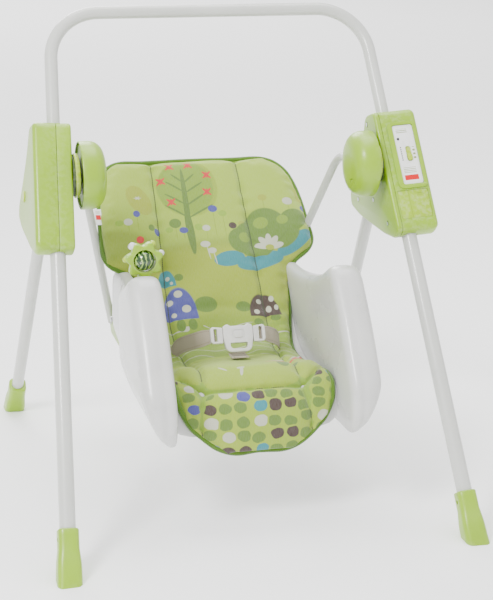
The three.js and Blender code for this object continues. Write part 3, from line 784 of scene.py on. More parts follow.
def rounded(corners: Iterable[Corner], steps: int = 6) -> list[tuple[float, float]]:
    """Outline with each corner rounded.

    Args:
        corners: (a, b, reach) with the length of edge that each rounding takes.
        steps: Steps of each rounding.

    Returns:
        The outline's points.
    """
    listed = [(Vector((a, b)), reach) for a, b, reach in corners]
    points: list[tuple[float, float]] = []
    for i, (here, reach) in enumerate(listed):
        before, after = listed[i - 1][0], listed[(i + 1) % len(listed)][0]
        start = here + (before - here).normalized() * reach
        end = here + (after - here).normalized() * reach
        for k in range(steps + 1):
            t = k / steps
            spot = start * (1 - t) ** 2 + here * 2 * t * (1 - t) + end * t * t
            points.append((spot.x, spot.y))
    return points


class Workshop:
    """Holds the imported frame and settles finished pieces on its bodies."""

    def __init__(self, frame: dict) -> None:
        """Keeps the frame."""
        self.frame = frame
        self.materials: dict[str, bpy.types.Material] = {}

    def material(self, finish: object) -> bpy.types.Material:
        """The material of a finish, built once."""
        if finish.name not in self.materials:
            self.materials[finish.name] = finish.build()
        return self.materials[finish.name]

    def settle(self, piece: Piece, finish: object, body: str, slot: str, *replaced: str,
               sharp: float = 40.0, scaled: bool = True, pulled: tuple | None = None) -> Piece:
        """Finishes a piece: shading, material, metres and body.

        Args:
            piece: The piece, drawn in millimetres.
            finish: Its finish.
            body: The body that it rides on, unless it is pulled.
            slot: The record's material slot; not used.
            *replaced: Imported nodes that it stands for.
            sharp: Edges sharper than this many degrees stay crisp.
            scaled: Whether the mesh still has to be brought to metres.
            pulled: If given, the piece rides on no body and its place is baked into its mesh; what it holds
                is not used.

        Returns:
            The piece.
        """
        if scaled:
            piece.data.transform(Matrix.Scale(METRE, 4))
        Bench.take(piece)
        bpy.ops.object.shade_smooth_by_angle(angle=math.radians(sharp))
        piece.data.materials.clear()
        piece.data.materials.append(self.material(finish))
        if pulled is None:
            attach(piece, body)
        else:
            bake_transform(piece)
        if replaced:
            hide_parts(*replaced)
        LOG.info("%s: %d faces on %s", piece.name, len(piece.data.polygons), body)
        return piece

    def settle_pair(self, right: Piece, finish: object, body: str, slot: str, node: str,
                    sharp: float = 40.0) -> None:
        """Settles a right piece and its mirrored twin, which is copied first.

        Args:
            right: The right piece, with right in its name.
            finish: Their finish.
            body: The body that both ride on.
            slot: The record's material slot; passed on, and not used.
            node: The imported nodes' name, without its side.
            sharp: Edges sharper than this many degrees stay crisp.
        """
        left = Bench.copied(right, right.name.replace("right", "left"), MIRROR)
        for label, piece in (("right", right), ("left", left)):
            self.settle(piece, finish, body, slot, f"{label}_{node}", sharp=sharp)

    def dress(self, finish: object, rounding: float, *names: str) -> None:
        """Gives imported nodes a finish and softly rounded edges.

        Args:
            finish: The finish.
            rounding: Radius of the edges.
            *names: The nodes.
        """
        for name in names:
            node = self.frame["nodes"][name]
            node.data.materials.clear()
            node.data.materials.append(self.material(finish))
            node.data.polygons.foreach_set("use_smooth", [True] * len(node.data.polygons))
            for kind, settings in (
                ("WELD", {"merge_threshold": 1e-5}),
                ("DECIMATE", {"decimate_type": "DISSOLVE", "angle_limit": math.radians(2)}),
                ("BEVEL", {"width": rounding * METRE, "segments": 3, "limit_method": "ANGLE",
                           "angle_limit": math.radians(32), "harden_normals": True}),
                ("WEIGHTED_NORMAL", {"keep_sharp": True}),
            ):
                modifier = node.modifiers.new(kind.lower(), kind)
                for setting, value in settings.items():
                    setattr(modifier, setting, value)


# ---- finishes ---------------------------------------------------------------------------------------

LIME = Plastic("lime_plastic", linear(156, 186, 10), roughness=0.34, coat=0.12, scatter=0.04)
DEEP_LIME = Plastic("deep_lime_plastic", linear(184, 204, 40), roughness=0.3, coat=0.2)
DOOR_LIME = Plastic("door_lime_plastic", linear(168, 194, 36), roughness=0.42, grain=900.0, depth=0.00012)
DARK = Plastic("dark_plastic", linear(58, 74, 34), roughness=0.55)
SHELL = Plastic("white_shell", linear(236, 236, 234), roughness=0.28, coat=0.25, scatter=0.05)
CLIP = Plastic("white_clip", linear(244, 243, 240), roughness=0.25, coat=0.2, scatter=0.08)
TUBE = PowderCoat("powder_white", linear(226, 227, 223))
STEEL = Metal("steel", (0.62, 0.63, 0.64))
LENS = Plastic("lens", (0.012, 0.012, 0.014), roughness=0.08, coat=1.0, depth=0.00001)
BOARD = Plastic("board", linear(30, 100, 56), roughness=0.5)
CELL = Plastic("cell", linear(50, 54, 62), roughness=0.3, coat=0.6)
GEAR = Plastic("gear", linear(238, 230, 208), roughness=0.4)
WEBBING = Woven("webbing", linear(205, 196, 182), stitched_at=(0.0035, 0.0215), thread=linear(170, 160, 146))
BINDING = Woven("binding", linear(98, 130, 40), pitch=0.0009, stitched_at=(0.005,),
                thread=linear(70, 100, 30))


# ---- frame: tubes, feet -----------------------------------------------------------------------------


@dataclass
class FrameTubes:
    """The handle, the four legs, the hanger tubes and the cross tube, all of round tube."""

    shop: Workshop
    handle_top: float = 703.4
    handle_bend: float = 76.0
    handle_end: float = 520.0
    handle_radius: float = 9.5
    leg_foot: float = 14.0
    leg_end: float = 458.0
    rear_end: float = 486.0
    hanger_radius: float = 6.3
    hanger_bend: float = 46.0
    cross_radius: float = 8.0

    def handle(self) -> None:
        """The wide bent bar over the top."""
        low = LEAN @ front_axis(self.handle_end)
        top = LEAN @ Vector((0, front_axis(self.handle_top).y, self.handle_top))
        corners = [(MIRROR @ low, 0.0), (MIRROR @ top, self.handle_bend), (top, self.handle_bend), (low, 0.0)]
        bar = Bench.tube("handle_bar", corners, self.handle_radius, 44)
        self.shop.settle(bar, TUBE, "frame", "powder_white", "handle_tube")

    def legs(self) -> None:
        """Front and rear legs of both sides."""
        for kind, axis, end, radius in (("front", front_axis, self.leg_end, LEG_RADIUS),
                                        ("rear", rear_axis, self.rear_end, REAR_RADIUS)):
            for label, side in SIDES:
                leg = Bench.tube(f"{label}_{kind}_leg_tube", [(axis(self.leg_foot), 0.0), (axis(end), 0.0)],
                                 radius, 40)
                Bench.move(leg, LEAN if side > 0 else MIRROR @ LEAN)
                body = "frame" if kind == "front" else f"{label}_rear_leg_body"
                self.shop.settle(leg, TUBE, body, "powder_white", f"{label}_{kind}_leg")

    def hangers(self) -> None:
        """The two tubes that carry the seat, and the bar between their ends."""
        corners = list(zip(HANGER_CORNERS, (0.0, self.hanger_bend, 0.0)))
        right = Bench.tube("right_hanger", corners, self.hanger_radius, 32)
        self.shop.settle_pair(right, TUBE, "swing", "powder_white", "hanger_tube")
        low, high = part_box("cross_tube")
        middle = (low + high) / 2 / METRE
        reach = Vector(((high - low).x / 2 / METRE, 0, 0))
        bar = Bench.tube("cross_bar", [(middle - reach, 0.0), (middle + reach, 0.0)], self.cross_radius, 32)
        self.shop.settle(bar, TUBE, "swing", "powder_white", "cross_tube")

    def build(self) -> None:
        """Makes all the tubes."""
        self.handle()
        self.legs()
        self.hangers()


@dataclass
class FootCaps:
    """Moulded caps on the leg ends: a squared, tapered sleeve with a toe that is level with the floor."""

    shop: Workshop
    low: float = -36.0
    neck: float = 70.0
    base_half: float = 16.4
    neck_half: float = 14.2
    corner: float = 8.5
    toe: float = 3.2
    rim: float = 0.4
    button_at: float = 56.0

    def sleeve(self, name: str, axis: Callable[[float], Vector], along: Vector) -> Piece:
        """One cap in the upright leg plane.

        Args:
            name: The piece's name.
            axis: The leg's axis by height.
            along: Its direction.

        Returns:
            The cap.
        """
        half, run = self.base_half, self.neck - self.low
        cap = Bench.block(name, (-half, -half, 0), (half, half, run))
        taper = self.neck_half / half
        with Bench.editing(cap):
            Bench.pick(cap, Pick.EDGE, lambda p: abs(p[0].z - p[1].z) > run / 2)
            bpy.ops.mesh.subdivide(number_cuts=11)
            Bench.pick(cap, Pick.FACE, lambda p: min(v.z for v in p) > run - 1)
            bpy.ops.transform.resize(value=(taper, taper, 1), center_override=(0, 0, run))
        for vertex in cap.data.vertices:
            low_part = max(0.0, 1 - vertex.co.z / (run * 0.62))
            if 0 < vertex.co.z < run:
                shrink = 1 - (1 - taper) * min(1.0, max(0.0, (vertex.co.z - run * 0.55) / (run * 0.2)))
                vertex.co.x *= shrink
                vertex.co.y *= shrink
            vertex.co.y -= self.toe * low_part * low_part if vertex.co.y < 0 else 0.0
        Bench.soften(
            cap, lambda p: abs((p[0] - p[1]).normalized().z) > 0.9 and min(abs(p[0].x), abs(p[0].y)) > 8,
            self.corner, 6)
        Bench.soften(cap, lambda p: min(v.z for v in p) > run - 0.5, 2.6, 3)
        heading = along.to_track_quat("Z", "X").to_matrix().to_4x4()
        ahead = heading.to_3x3() @ Vector((0, -1, 0))
        outward = -1 if axis(0).y < 0 else 1
        if ahead.y * outward < 0:
            heading = heading @ Matrix.Rotation(math.pi, 4, "Z")
        cap.data.transform(Matrix.Translation(axis(0) + along * self.low) @ heading)
        return cap

    def build(self) -> None:
        """Makes the four caps with their button holes and leg bores."""
        for kind, axis, along, radius in (("front", front_axis, FRONT_ALONG, LEG_RADIUS),
                                          ("rear", rear_axis, REAR_ALONG, REAR_RADIUS)):
            right = self.sleeve(f"right_{kind}_cap", axis, along)
            middle, reach = axis(self.button_at * along.z), Vector((30, 0, 0))
            button = Bench.rod("button", middle - reach, middle + reach, 3.2)
            bore = Bench.rod("bore", axis(0) + along * 20, axis(0) + along * (self.neck + 8),
                             radius + 0.3, 40)
            Bench.carve(right, button, bore)
            right.data.transform(LEAN)
            floor = Bench.block("floor_cut", (100, -600, -120), (500, 600, 0))
            Bench.carve(right, floor)
            Bench.soften(right, lambda p: max(v.z for v in p) < 1e-3, self.rim, 2)
            left = Bench.copied(right, f"left_{kind}_cap", MIRROR)
            for label, cap in (("right", right), ("left", left)):
                body = "frame" if kind == "front" else f"{label}_rear_leg_body"
                self.shop.settle(cap, LIME, body, "lime_plastic", f"{label}_{kind}_foot", sharp=32)


# ---- housings and their fittings --------------------------------------------------------------------


WINDOW = ((0.1, 31.9), (525.6, 619.4))
THROUGH = (-8.0, 8.0)


def on_front_face() -> Matrix:
    """Matrix from (x across, t along the leg, d ahead of the housing's front face) to the leaning frame."""
    basis = Matrix((Vector((1, 0, 0)), FRONT_ALONG, FRONT_AHEAD)).transposed().to_4x4()
    start = Vector((0, -FOOT_Y, 0)) + FRONT_AHEAD * FRONT_FACE
    return LEAN @ Matrix.Translation(start) @ basis


def face_plate(name: str, xs: Sequence[float], ts: Sequence[float], ds: Sequence[float],
               reach: float = 2.0) -> Piece:
    """Rounded plate on the motor housing's front face.

    Args:
        name: The piece's name.
        xs: Its two edges across.
        ts: Its two ends along the leg.
        ds: Its back and front, ahead of the face.
        reach: Rounding of its corners.

    Returns:
        The plate.
    """
    loop = rounded([(xs[0], ts[0], reach), (xs[1], ts[0], reach), (xs[1], ts[1], reach),
                    (xs[0], ts[1], reach)])
    plate = Bench.prism(name, loop, ds[0], ds[1])
    plate.data.transform(Matrix(((0, 1, 0, 0), (0, 0, 1, 0), (1, 0, 0, 0), (0, 0, 0, 1))))
    plate.data.transform(on_front_face())
    return plate


@dataclass
class Housing:
    """One leg housing: two moulded shells over the leg joints, parted along the side."""

    shop: Workshop
    label: str
    side: int
    inner: float
    outer: float
    parting: float
    outer_edge: float
    name: str
    inner_edge: float = 4.0
    wall: float = 2.4
    top: float = 549.0
    foot: float = 389.0
    screws: tuple = ((-84.0, 402.0), (56.0, 410.0), (-2.0, 538.0), (-20.0, 425.0))

    def outline(self) -> list[tuple[float, float]]:
        """Side outline: straight beside the leg, sail-shaped behind."""
        low = front_axis(self.foot) + FRONT_AHEAD * FRONT_FACE
        high = front_axis(self.top) + FRONT_AHEAD * FRONT_FACE
        return rounded([
            (low.y, low.z, 9), (-112, 385, 9), (-62, 381, 12), (54, 384, 14), (96, 392, 9),
            (100, 412, 10), (61, 459, 18), (26, 506, 18), (8, 549, 10), (high.y, high.z, 10)], 5)

    def passages(self) -> list[Piece]:
        """Cutters for all that goes through the walls, placed in the leaning frame."""
        handle = Bench.rod("handle_way", front_axis(535), front_axis(620), 10.1, 36)
        leg = Bench.rod("leg_way", front_axis(330), front_axis(self.foot + 69), 11.7, 36)
        slot = Bench.block("leg_slot", (-11.5, -72, 360), (11.5, 92, 398))
        cutters = [handle, leg, slot]
        for cutter in cutters:
            cutter.data.transform(LEAN)
        axle = Bench.rod("axle_way", Vector((100, PIVOT.y, PIVOT.z)), Vector((262, PIVOT.y, PIVOT.z)),
                         8.0, 36)
        return [*cutters, axle]

    def whole(self) -> Piece:
        """The closed body with its rounded rims, in the upright leg plane."""
        body = Bench.prism(self.name, self.outline(), -self.inner, self.outer)
        Bench.soften(body, lambda p: min(v.x for v in p) > self.outer - 0.1, self.outer_edge, 6)
        Bench.soften(body, lambda p: max(v.x for v in p) < -self.inner + 0.1, self.inner_edge, 5)
        return body

    def half(self, body: Piece, outside: bool) -> Piece:
        """One shell of the housing.

        Args:
            body: The closed body.
            outside: Whether it is the outer shell.

        Returns:
            The shell, open at the parting plane, with its wall thickness.
        """
        end = "outer" if outside else "inner"
        shell = Bench.copied(body, f"{self.name}_{end}_shell", Matrix.Identity(4))
        gap = 0.3 if outside else -0.3
        with Bench.editing(shell):
            bpy.ops.mesh.select_all(action="SELECT")
            bpy.ops.mesh.bisect(plane_co=(self.parting + gap, 0, 0), plane_no=(1, 0, 0),
                                clear_inner=outside, clear_outer=not outside)
        Bench.modify(shell, "SOLIDIFY", thickness=self.wall, offset=-1, use_even_offset=True)
        edge = self.parting + gap
        Bench.soften(shell, lambda p: all(abs(v.x - edge) < 0.05 for v in p), 0.5, 2)
        shell.data.transform(LEAN)
        return shell

    def shells(self) -> tuple[Piece, Piece]:
        """Both shells with their passages, in the leaning frame."""
        body = self.whole()
        made = []
        for outside in (True, False):
            shell = self.half(body, outside)
            Bench.carve(shell, *self.passages())
            made.append(shell)
        bpy.data.objects.remove(body)
        return made[0], made[1]

    def screw(self, index: int, y: float, z: float) -> Piece:
        """A screw head sunk in the inner shell."""
        face = -self.inner
        head = Bench.turned(f"{self.name}_screw_{index}",
                            [(0, 0.6), (2.6, 0.6), (3.2, 0.2), (3.2, -1.5), (0, -1.5)],
                            Vector((face - 0.1, y, z)), 24)
        for turn in (0, math.pi / 2):
            cross = Bench.block("cross", (face - 1, y - 2.2, z - 0.4), (face + 1.2, y + 2.2, z + 0.4))
            there, back = Matrix.Translation((0, y, z)), Matrix.Translation((0, -y, -z))
            cross.data.transform(there @ Matrix.Rotation(turn, 4, "X") @ back)
            Bench.carve(head, cross)
        head.data.transform(Matrix.Translation((1.0, 0, 0)))
        return head

    def build(self) -> None:
        """Makes the shells, and the screws that close them."""
        outer, inner = self.shells()
        screws = []
        for index, (y, z) in enumerate(self.screws):
            well = Bench.rod("well", Vector((-self.inner - 2, y, z)), Vector((-self.inner + 1.4, y, z)),
                             4.2, 28)
            well.data.transform(LEAN)
            Bench.carve(inner, well)
            head = self.screw(index, y, z)
            head.data.transform(LEAN)
            screws.append(head)
        if self.side > 0:
            self.panel_openings(outer)
        if self.side < 0:
            for piece in (outer, inner, *screws):
                Bench.move(piece, MIRROR)
        self.shop.settle(outer, LIME, "frame", "lime_plastic", f"{self.name}_outer", sharp=30)
        self.shop.settle(inner, LIME, "frame", "lime_plastic", f"{self.name}_inner", sharp=30)
        for head in screws:
            self.shop.settle(head, STEEL, "frame", "steel")

    def panel_openings(self, outer: Piece) -> None:
        """Openings for the control label and the battery door."""
        Bench.carve(outer, face_plate("label_way", *WINDOW, THROUGH),
                    face_plate("door_way", (-12.4, 35.4), (473.6, 517.4), THROUGH, 3))


@dataclass
class ControlPanel:
    """The label with its window, scale and slider, the raised bezel, and the battery door."""

    shop: Workshop
    label_x: tuple = (0.5, 31.5)
    label_t: tuple = (526.0, 619.0)
    bezel_x: tuple = (-7.5, 37.0)
    bezel_t: tuple = (519.5, 624.5)
    door_x: tuple = (-12.0, 35.0)
    door_t: tuple = (474.0, 517.0)

    def build(self) -> None:
        """Makes the panel's pieces."""
        label = face_plate("control_panel", self.label_x, self.label_t, (-2.0, 1.0), 4)
        Bench.carve(label, face_plate("slot", (14.2, 22.8), (561.5, 585.5), THROUGH, 4.1))
        Bench.soften(label, lambda p: (p[0] - p[1]).length > 0.5, 0.2, 2)
        local = np.array([tuple(on_front_face().inverted() @ v.co) for v in label.data.vertices])
        map_cloth(label, local[:, :2])
        self.shop.settle(label, LABEL_PRINT, "frame", "label", "control_label", sharp=30)
        well = face_plate("slider_well", (13.2, 23.8), (560.5, 586.5), (-3.4, -1.0), 5)
        self.shop.settle(well, DEEP_LIME, "frame", "lime_plastic")
        knob = face_plate("slider_knob", (15.0, 22.0), (562.6, 572.4), (-2.0, 3.6), 3.3)
        Bench.soften(knob, lambda p: True, 0.6, 3)
        self.shop.settle(knob, DEEP_LIME, "slider", "deep_lime_plastic", "speed_slider", sharp=30)
        bezel = face_plate("label_frame", self.bezel_x, self.bezel_t, (-1.0, 2.8), 9)
        Bench.carve(bezel, face_plate("window", *WINDOW, THROUGH, 3))
        Bench.soften(bezel, lambda p: (p[0] - p[1]).length > 0.2, 1.3, 4)
        self.shop.settle(bezel, LIME, "frame", "lime_plastic", "label_bezel", sharp=30)
        door = face_plate("battery_cover", self.door_x, self.door_t, (-3.0, -0.7), 3)
        rib = face_plate("rib", (4.2, 5.0), (474, 517), (-1.2, 0.4), 0.2)
        Bench.carve(door, rib)
        grip = face_plate("grip", (18, 28), (508, 512), (-1.4, 1.0), 1.9)
        Bench.carve(door, grip)
        Bench.soften(door, lambda p: (p[0] - p[1]).length > 0.5, 0.35, 2)
        self.shop.settle(door, DOOR_LIME, "door", "lime_plastic", "battery_door", sharp=30)
        self.shop.dress(LENS, 0.8, "indicator_lens")


@dataclass
class Hubs:
    """The round hubs that carry the hanger tubes, their collars and the brackets at the tubes' ends."""

    shop: Workshop
    inner: float = 182.0
    rim: float = 219.0
    radius: float = 49.0

    def cover(self) -> Piece:
        """The right hub's domed cover with its rolled rim and a shallow ring on the dome."""
        a, r = self.inner, self.radius
        profile = [
            (0.0, a), (14, a + 0.1), (22, a + 0.5), (30, a + 1.6), (36, a + 3.4), (40.5, a + 5.9),
            (44, a + 9.2), (46.6, a + 13), (48.2, a + 17.2), (r - 0.1, a + 22), (r, a + 27),
            (r, self.rim - 1.2), (r - 0.4, self.rim - 0.3), (r - 1.3, self.rim),
            (r - 2.4, self.rim - 0.4), (r - 2.6, self.rim - 2), (r - 2.6, a + 24), (45.4, a + 17.5),
            (41.5, a + 11.5), (35, a + 6.6), (26, a + 4.2), (0.0, a + 2.8)]
        cover = Bench.turned("right_hub_shell", profile, Vector((0, PIVOT.y, PIVOT.z)), 72)
        badge_middle = Vector((self.inner + 3.2, PIVOT.y - 20, PIVOT.z - 26))
        ring = Bench.rod("ring", badge_middle - Vector((6, 0, 0)), badge_middle + Vector((0.4, 0, 0)),
                         8.0, 40)
        core = Bench.rod("core", badge_middle - Vector((7, 0, 0)), badge_middle + Vector((1, 0, 0)), 6.6, 40)
        Bench.carve(ring, core)
        start = HANGER_CORNERS[0]
        way = Bench.rod("tube_way", start, start + Vector((0, 46, 0)), 7.0, 28)
        Bench.carve(cover, ring, way)
        return cover

    def build(self) -> None:
        """Makes the hub covers and dresses what is behind them."""
        self.shop.settle_pair(self.cover(), LIME, "swing", "lime_plastic", "hub_cover", sharp=35)
        self.shop.dress(LIME, 0.5, "left_hub_back", "right_hub_back")
        self.shop.dress(DARK, 0.4, "left_pivot_collar", "right_pivot_collar")
        for label, side in SIDES:
            ring = Bench.turned(
                f"{label}_collar_ring",
                [(29.5, 221), (31.5, 221), (32, 222), (32, 226), (31, 227), (29.5, 227)],
                Vector((0, PIVOT.y, PIVOT.z)), 56)
            if side < 0:
                Bench.move(ring, MIRROR)
            self.shop.settle(ring, DEEP_LIME, "frame", "lime_plastic", sharp=30)
        self.brackets()

    def brackets(self) -> None:
        """Seat brackets: rounded blocks with ways cut for the hanger tube, the recline pin and the cross
        tube.
        """
        loop = rounded([
            (118, 163, 6), (226, 163, 8), (240, 186, 8), (234, 207, 6), (206, 219, 6), (150, 214, 4),
            (141, 228, 6), (114, 228, 6), (114, 204, 3)], 5)
        right = Bench.prism("right_bracket", loop, 108, 134)
        Bench.soften(right, lambda p: abs(p[0].x - p[1].x) < 0.01, 2.4, 4)
        _, before, end = HANGER_CORNERS
        socket = Bench.rod("socket", end - (before - end).normalized() * 2, end + (before - end) * 0.3,
                           6.7, 28)
        pin = Bench.rod("pin_way", Vector((90, *RECLINE_PIN)), Vector((150, *RECLINE_PIN)), 4.4, 28)
        cross = Bench.rod("cross_way", Vector((90, 186, 188)), Vector((120, 186, 188)), 8.4, 32)
        Bench.carve(right, socket, pin, cross)
        self.shop.settle_pair(right, LIME, "swing", "lime_plastic", "seat_bracket", sharp=35)


class HiddenWorks:
    """What the housings hold, and the small pins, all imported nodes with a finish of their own."""

    def __init__(self, shop: Workshop) -> None:
        """Keeps the workshop."""
        self.shop = shop

    def build(self) -> None:
        """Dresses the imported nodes."""
        for finish, rounding, names in (
            (STEEL, 0.2, ("left_pivot_axle", "right_pivot_axle", "left_rear_leg_pin", "right_rear_leg_pin",
                          "left_recline_pin", "right_recline_pin", "motor")),
            (GEAR, 0.12, ("motor_pinion", "drive_gear", "swing_lever")),
            (CELL, 0.6, ("battery_a", "battery_b", "battery_c")),
            (BOARD, 0.1, ("circuit_board",)),
            (DEEP_LIME, 0.9, ("left_fold_button", "right_fold_button", "left_recline_latch",
                              "right_recline_latch")),
        ):
            self.shop.dress(finish, rounding, *names)


# ---- the seat's line --------------------------------------------------------------------------------


class Spine:
    """Middle line of the cover's upper face, measured from the top of the back to the front edge."""

    POINTS = ((200, 458), (150, 400), (99, 342), (56, 290), (20, 248), (-8, 222), (-40, 209), (-86, 207),
              (-134, 213), (-176, 220), (-208, 213), (-228, 190), (-238, 156), (-242, 116))
    SAMPLES = 40
    PYRAMID = (((0, 1), (1, 2), (2, 3)), ((0, 2), (1, 3)), ((1, 2),))

    def __init__(self) -> None:
        """Samples the line, and measures it."""
        given = np.array(self.POINTS, float)
        padded = np.vstack([2 * given[0] - given[1], given, 2 * given[-1] - given[-2]])
        points = []
        for i in range(1, len(padded) - 2):
            gaps = np.linalg.norm(np.diff(padded[i - 1:i + 3], axis=0), axis=1)
            knots = np.concatenate([[0.0], np.cumsum(np.sqrt(gaps))])
            for t in np.linspace(knots[1], knots[2], self.SAMPLES, endpoint=False):
                level = list(padded[i - 1:i + 3])
                for spans in self.PYRAMID:
                    level = [self.between(level[k], level[k + 1], knots[low], knots[high], t)
                             for k, (low, high) in enumerate(spans)]
                points.append(level[0])
        self.line = np.array([*points, given[-1]])
        self.run = np.concatenate([[0.0], np.cumsum(np.linalg.norm(np.diff(self.line, axis=0), axis=1))])
        self.length = float(self.run[-1])

    @staticmethod
    def between(first: np.ndarray, second: np.ndarray, start: float, end: float, t: float) -> np.ndarray:
        """Point between two others at t, which runs from start to end."""
        return first * (end - t) / (end - start) + second * (t - start) / (end - start)

    def at(self, s: float) -> tuple[Vector, Vector]:
        """Point and outward direction at a distance along the line.

        Args:
            s: Distance from the top, which may run past either end.

        Returns:
            The point and the direction away from the shell.
        """
        y = float(np.interp(s, self.run, self.line[:, 0]))
        z = float(np.interp(s, self.run, self.line[:, 1]))
        step = 3.0
        low, high = max(0.0, min(s, self.length) - step), min(self.length, max(s, 0.0) + step)
        first, last = ([np.interp(v, self.run, self.line[:, i]) for i in (0, 1)] for v in (low, high))
        along = Vector((0, last[0] - first[0], last[1] - first[1])).normalized()
        past = s - min(max(s, 0.0), self.length)
        return Vector((0, y, z)) + along * past, Vector((0, along.z, -along.y))

    def measured(self, points: np.ndarray) -> tuple[np.ndarray, np.ndarray]:
        """Distance along the line and height above it of many points.

        Args:
            points: Points in millimetres, one row each.

        Returns:
            The distances and the heights.
        """
        along, height = np.zeros(len(points)), np.zeros(len(points))
        tangents = np.gradient(self.line, axis=0)
        tangents /= np.linalg.norm(tangents, axis=1)[:, None]
        outward = np.stack([tangents[:, 1], -tangents[:, 0]], axis=1)
        for start in range(0, len(points), 4000):
            part = points[start:start + 4000, 1:]
            away = part[:, None, :] - self.line[None, :, :]
            nearest = np.argmin((away ** 2).sum(axis=2), axis=1)
            offset = away[np.arange(len(part)), nearest]
            along[start:start + 4000] = self.run[nearest] + (offset * tangents[nearest]).sum(axis=1)
            height[start:start + 4000] = (offset * outward[nearest]).sum(axis=1)
        return along, height


SPINE = Spine()


@dataclass
class SeatShell:
    """The moulded pan and back board under the cover, and the two side wings."""

    shop: Workshop
    under: float = 22.4
    thick: float = 3.5
    pan_half: float = 122.4
    back_half: float = 148.0
    wing_in: float = 123.0
    wing_out: float = 172.0
    voxel: float = 3.6

    def sheet(self, name: str, start: float, end: float, half: float, rows: int, columns: int,
              corner: float) -> Piece:
        """Sheet that follows the seat's line, with its thickness.

        Args:
            name: The piece's name.
            start: Distance of its upper edge along the line.
            end: Distance of its lower edge.
            half: Half its width.
            rows: Faces along.
            columns: Faces across.
            corner: How far its corners are drawn in.

        Returns:
            The sheet.
        """
        Bench.clear()
        bpy.ops.mesh.primitive_grid_add(x_subdivisions=columns, y_subdivisions=rows, size=2)
        sheet = Bench.named(name)
        for vertex in sheet.data.vertices:
            u, s = vertex.co.x, start + (end - start) * (1 - vertex.co.y) / 2
            edge = min(s - start, end - s)
            drawn = 1 - min(1.0, edge / corner)
            round_off = corner * (1 - math.sqrt(max(0.0, 1 - drawn ** 2)))
            point, out = SPINE.at(s)
            rib = 2.2 * max(0.0, 1 - abs(abs(u) * half - 62) / 7) if columns > 30 else 0.0
            spot = point - out * (self.under + rib)
            vertex.co = (u * (half - round_off), spot.y, spot.z)
        Bench.modify(sheet, "SOLIDIFY", thickness=self.thick, offset=1.0, use_even_offset=True)
        Bench.weld(sheet)
        return sheet

    def tray(self) -> None:
        """Pan and back board, joined."""
        run = SPINE.length
        pan = self.sheet("seat_pan", 0.2 * run, 0.96 * run, self.pan_half, 90, 40, 30)
        board = self.sheet("back_board", 0.04 * run, 0.245 * run, self.back_half, 36, 48, 26)
        Bench.joined(pan, board)
        pan.name = pan.data.name = "seat_tray"
        Bench.modify(pan, "BEVEL", width=0.8, segments=3, limit_method="ANGLE", angle_limit=math.radians(50))
        self.shop.settle(pan, SHELL, "seat", "white_shell", "seat_shell", sharp=35)

    def wing_loop(self) -> list[tuple[float, float]]:
        """Side outline of a wing: low at the back, with its crest and its long nose in front."""
        return rounded([
            (-280, 142, 26), (-120, 138, 30), (40, 152, 30), (140, 200, 18), (122, 304, 24), (0, 306, 44),
            (-96, 330, 34), (-164, 368, 30), (-232, 290, 34), (-292, 202, 28)], 8)

    def width_at(self, y: float, z: float) -> float:
        """Thickness of a wing at a place on its side outline."""
        behind = min(1.0, max(0.0, (y + 110) / 170))
        behind = behind * behind * (3 - 2 * behind)
        rise = min(1.0, max(0.04, (z - 136) / 80))
        return (self.wing_out - self.wing_in) * (1 - 0.48 * behind) * math.sqrt(rise)

    def wing(self) -> Piece:
        """The right wing: a rounded slab, remeshed, drawn to its thickness and smoothed."""
        deep = self.wing_out - self.wing_in
        body = Bench.prism("right_wing", self.wing_loop(), self.wing_in, self.wing_out)
        Bench.soften(body, lambda p: min(v.x for v in p) > self.wing_out - 0.1, 19, 6)
        Bench.soften(body, lambda p: max(v.x for v in p) < self.wing_in + 0.1, 12, 5)
        Bench.modify(body, "REMESH", mode="VOXEL", voxel_size=self.voxel, use_smooth_shade=True)
        for vertex in body.data.vertices:
            part = (vertex.co.x - self.wing_in) / deep
            vertex.co.x = self.wing_in + part * self.width_at(vertex.co.y, vertex.co.z)
        Bench.modify(body, "SMOOTH", factor=0.5, iterations=20)
        for vertex in body.data.vertices:
            front = min(1.0, max(0.0, (-150 - vertex.co.y) / 60))
            ridge = math.exp(-((vertex.co.x - self.wing_in - 17) / 4.5) ** 2)
            vertex.co.y += 2.0 * ridge * front
            vertex.co.x = max(vertex.co.x, self.wing_in + 0.2)
        room = Bench.block("bracket_room", (90, 100, 120), (self.wing_in + 13, 260, 246), 5, 4)
        slot = Bench.block("latch_slot", (90, 37.6, 260.6), (200, 42.4, 275.4), 1.2, 2)
        pin = Bench.rod("pin_way", Vector((90, *RECLINE_PIN)), Vector((200, *RECLINE_PIN)), 4.4, 24)
        Bench.carve(body, room, slot, pin)
        return body

    def build(self) -> None:
        """Makes the tray and both wings."""
        self.tray()
        self.shop.settle_pair(self.wing(), SHELL, "seat", "white_shell", "side_wing", sharp=48)


# ---- the padded cover -------------------------------------------------------------------------------


class Ink(Enum):
    """Printing inks of the cover."""

    SKY = linear(193, 216, 122)
    HILL = linear(164, 184, 52)
    MEADOW = linear(184, 200, 62)
    LOW_MEADOW = linear(158, 184, 44)
    OLIVE = linear(114, 144, 48)
    CROWN = linear(152, 180, 50)
    CROWN_RIM = linear(174, 196, 74)
    TRUNK = linear(108, 136, 50)
    LEAF = linear(184, 196, 72)
    ORANGE = linear(226, 92, 36)
    VIOLET = linear(96, 98, 166)
    TURQUOISE = linear(70, 156, 166)
    BROWN = linear(60, 36, 28)
    CREAM = linear(238, 240, 222)
    LIME = linear(168, 200, 62)
    PANEL = linear(182, 204, 58)
    SEAT = linear(184, 206, 90)
    # colour of the stitches and of the painted shade in the seam folds
    THREAD_AND_SEAM_SHADE = linear(44, 60, 22)


NO_FOOT = 2000.0


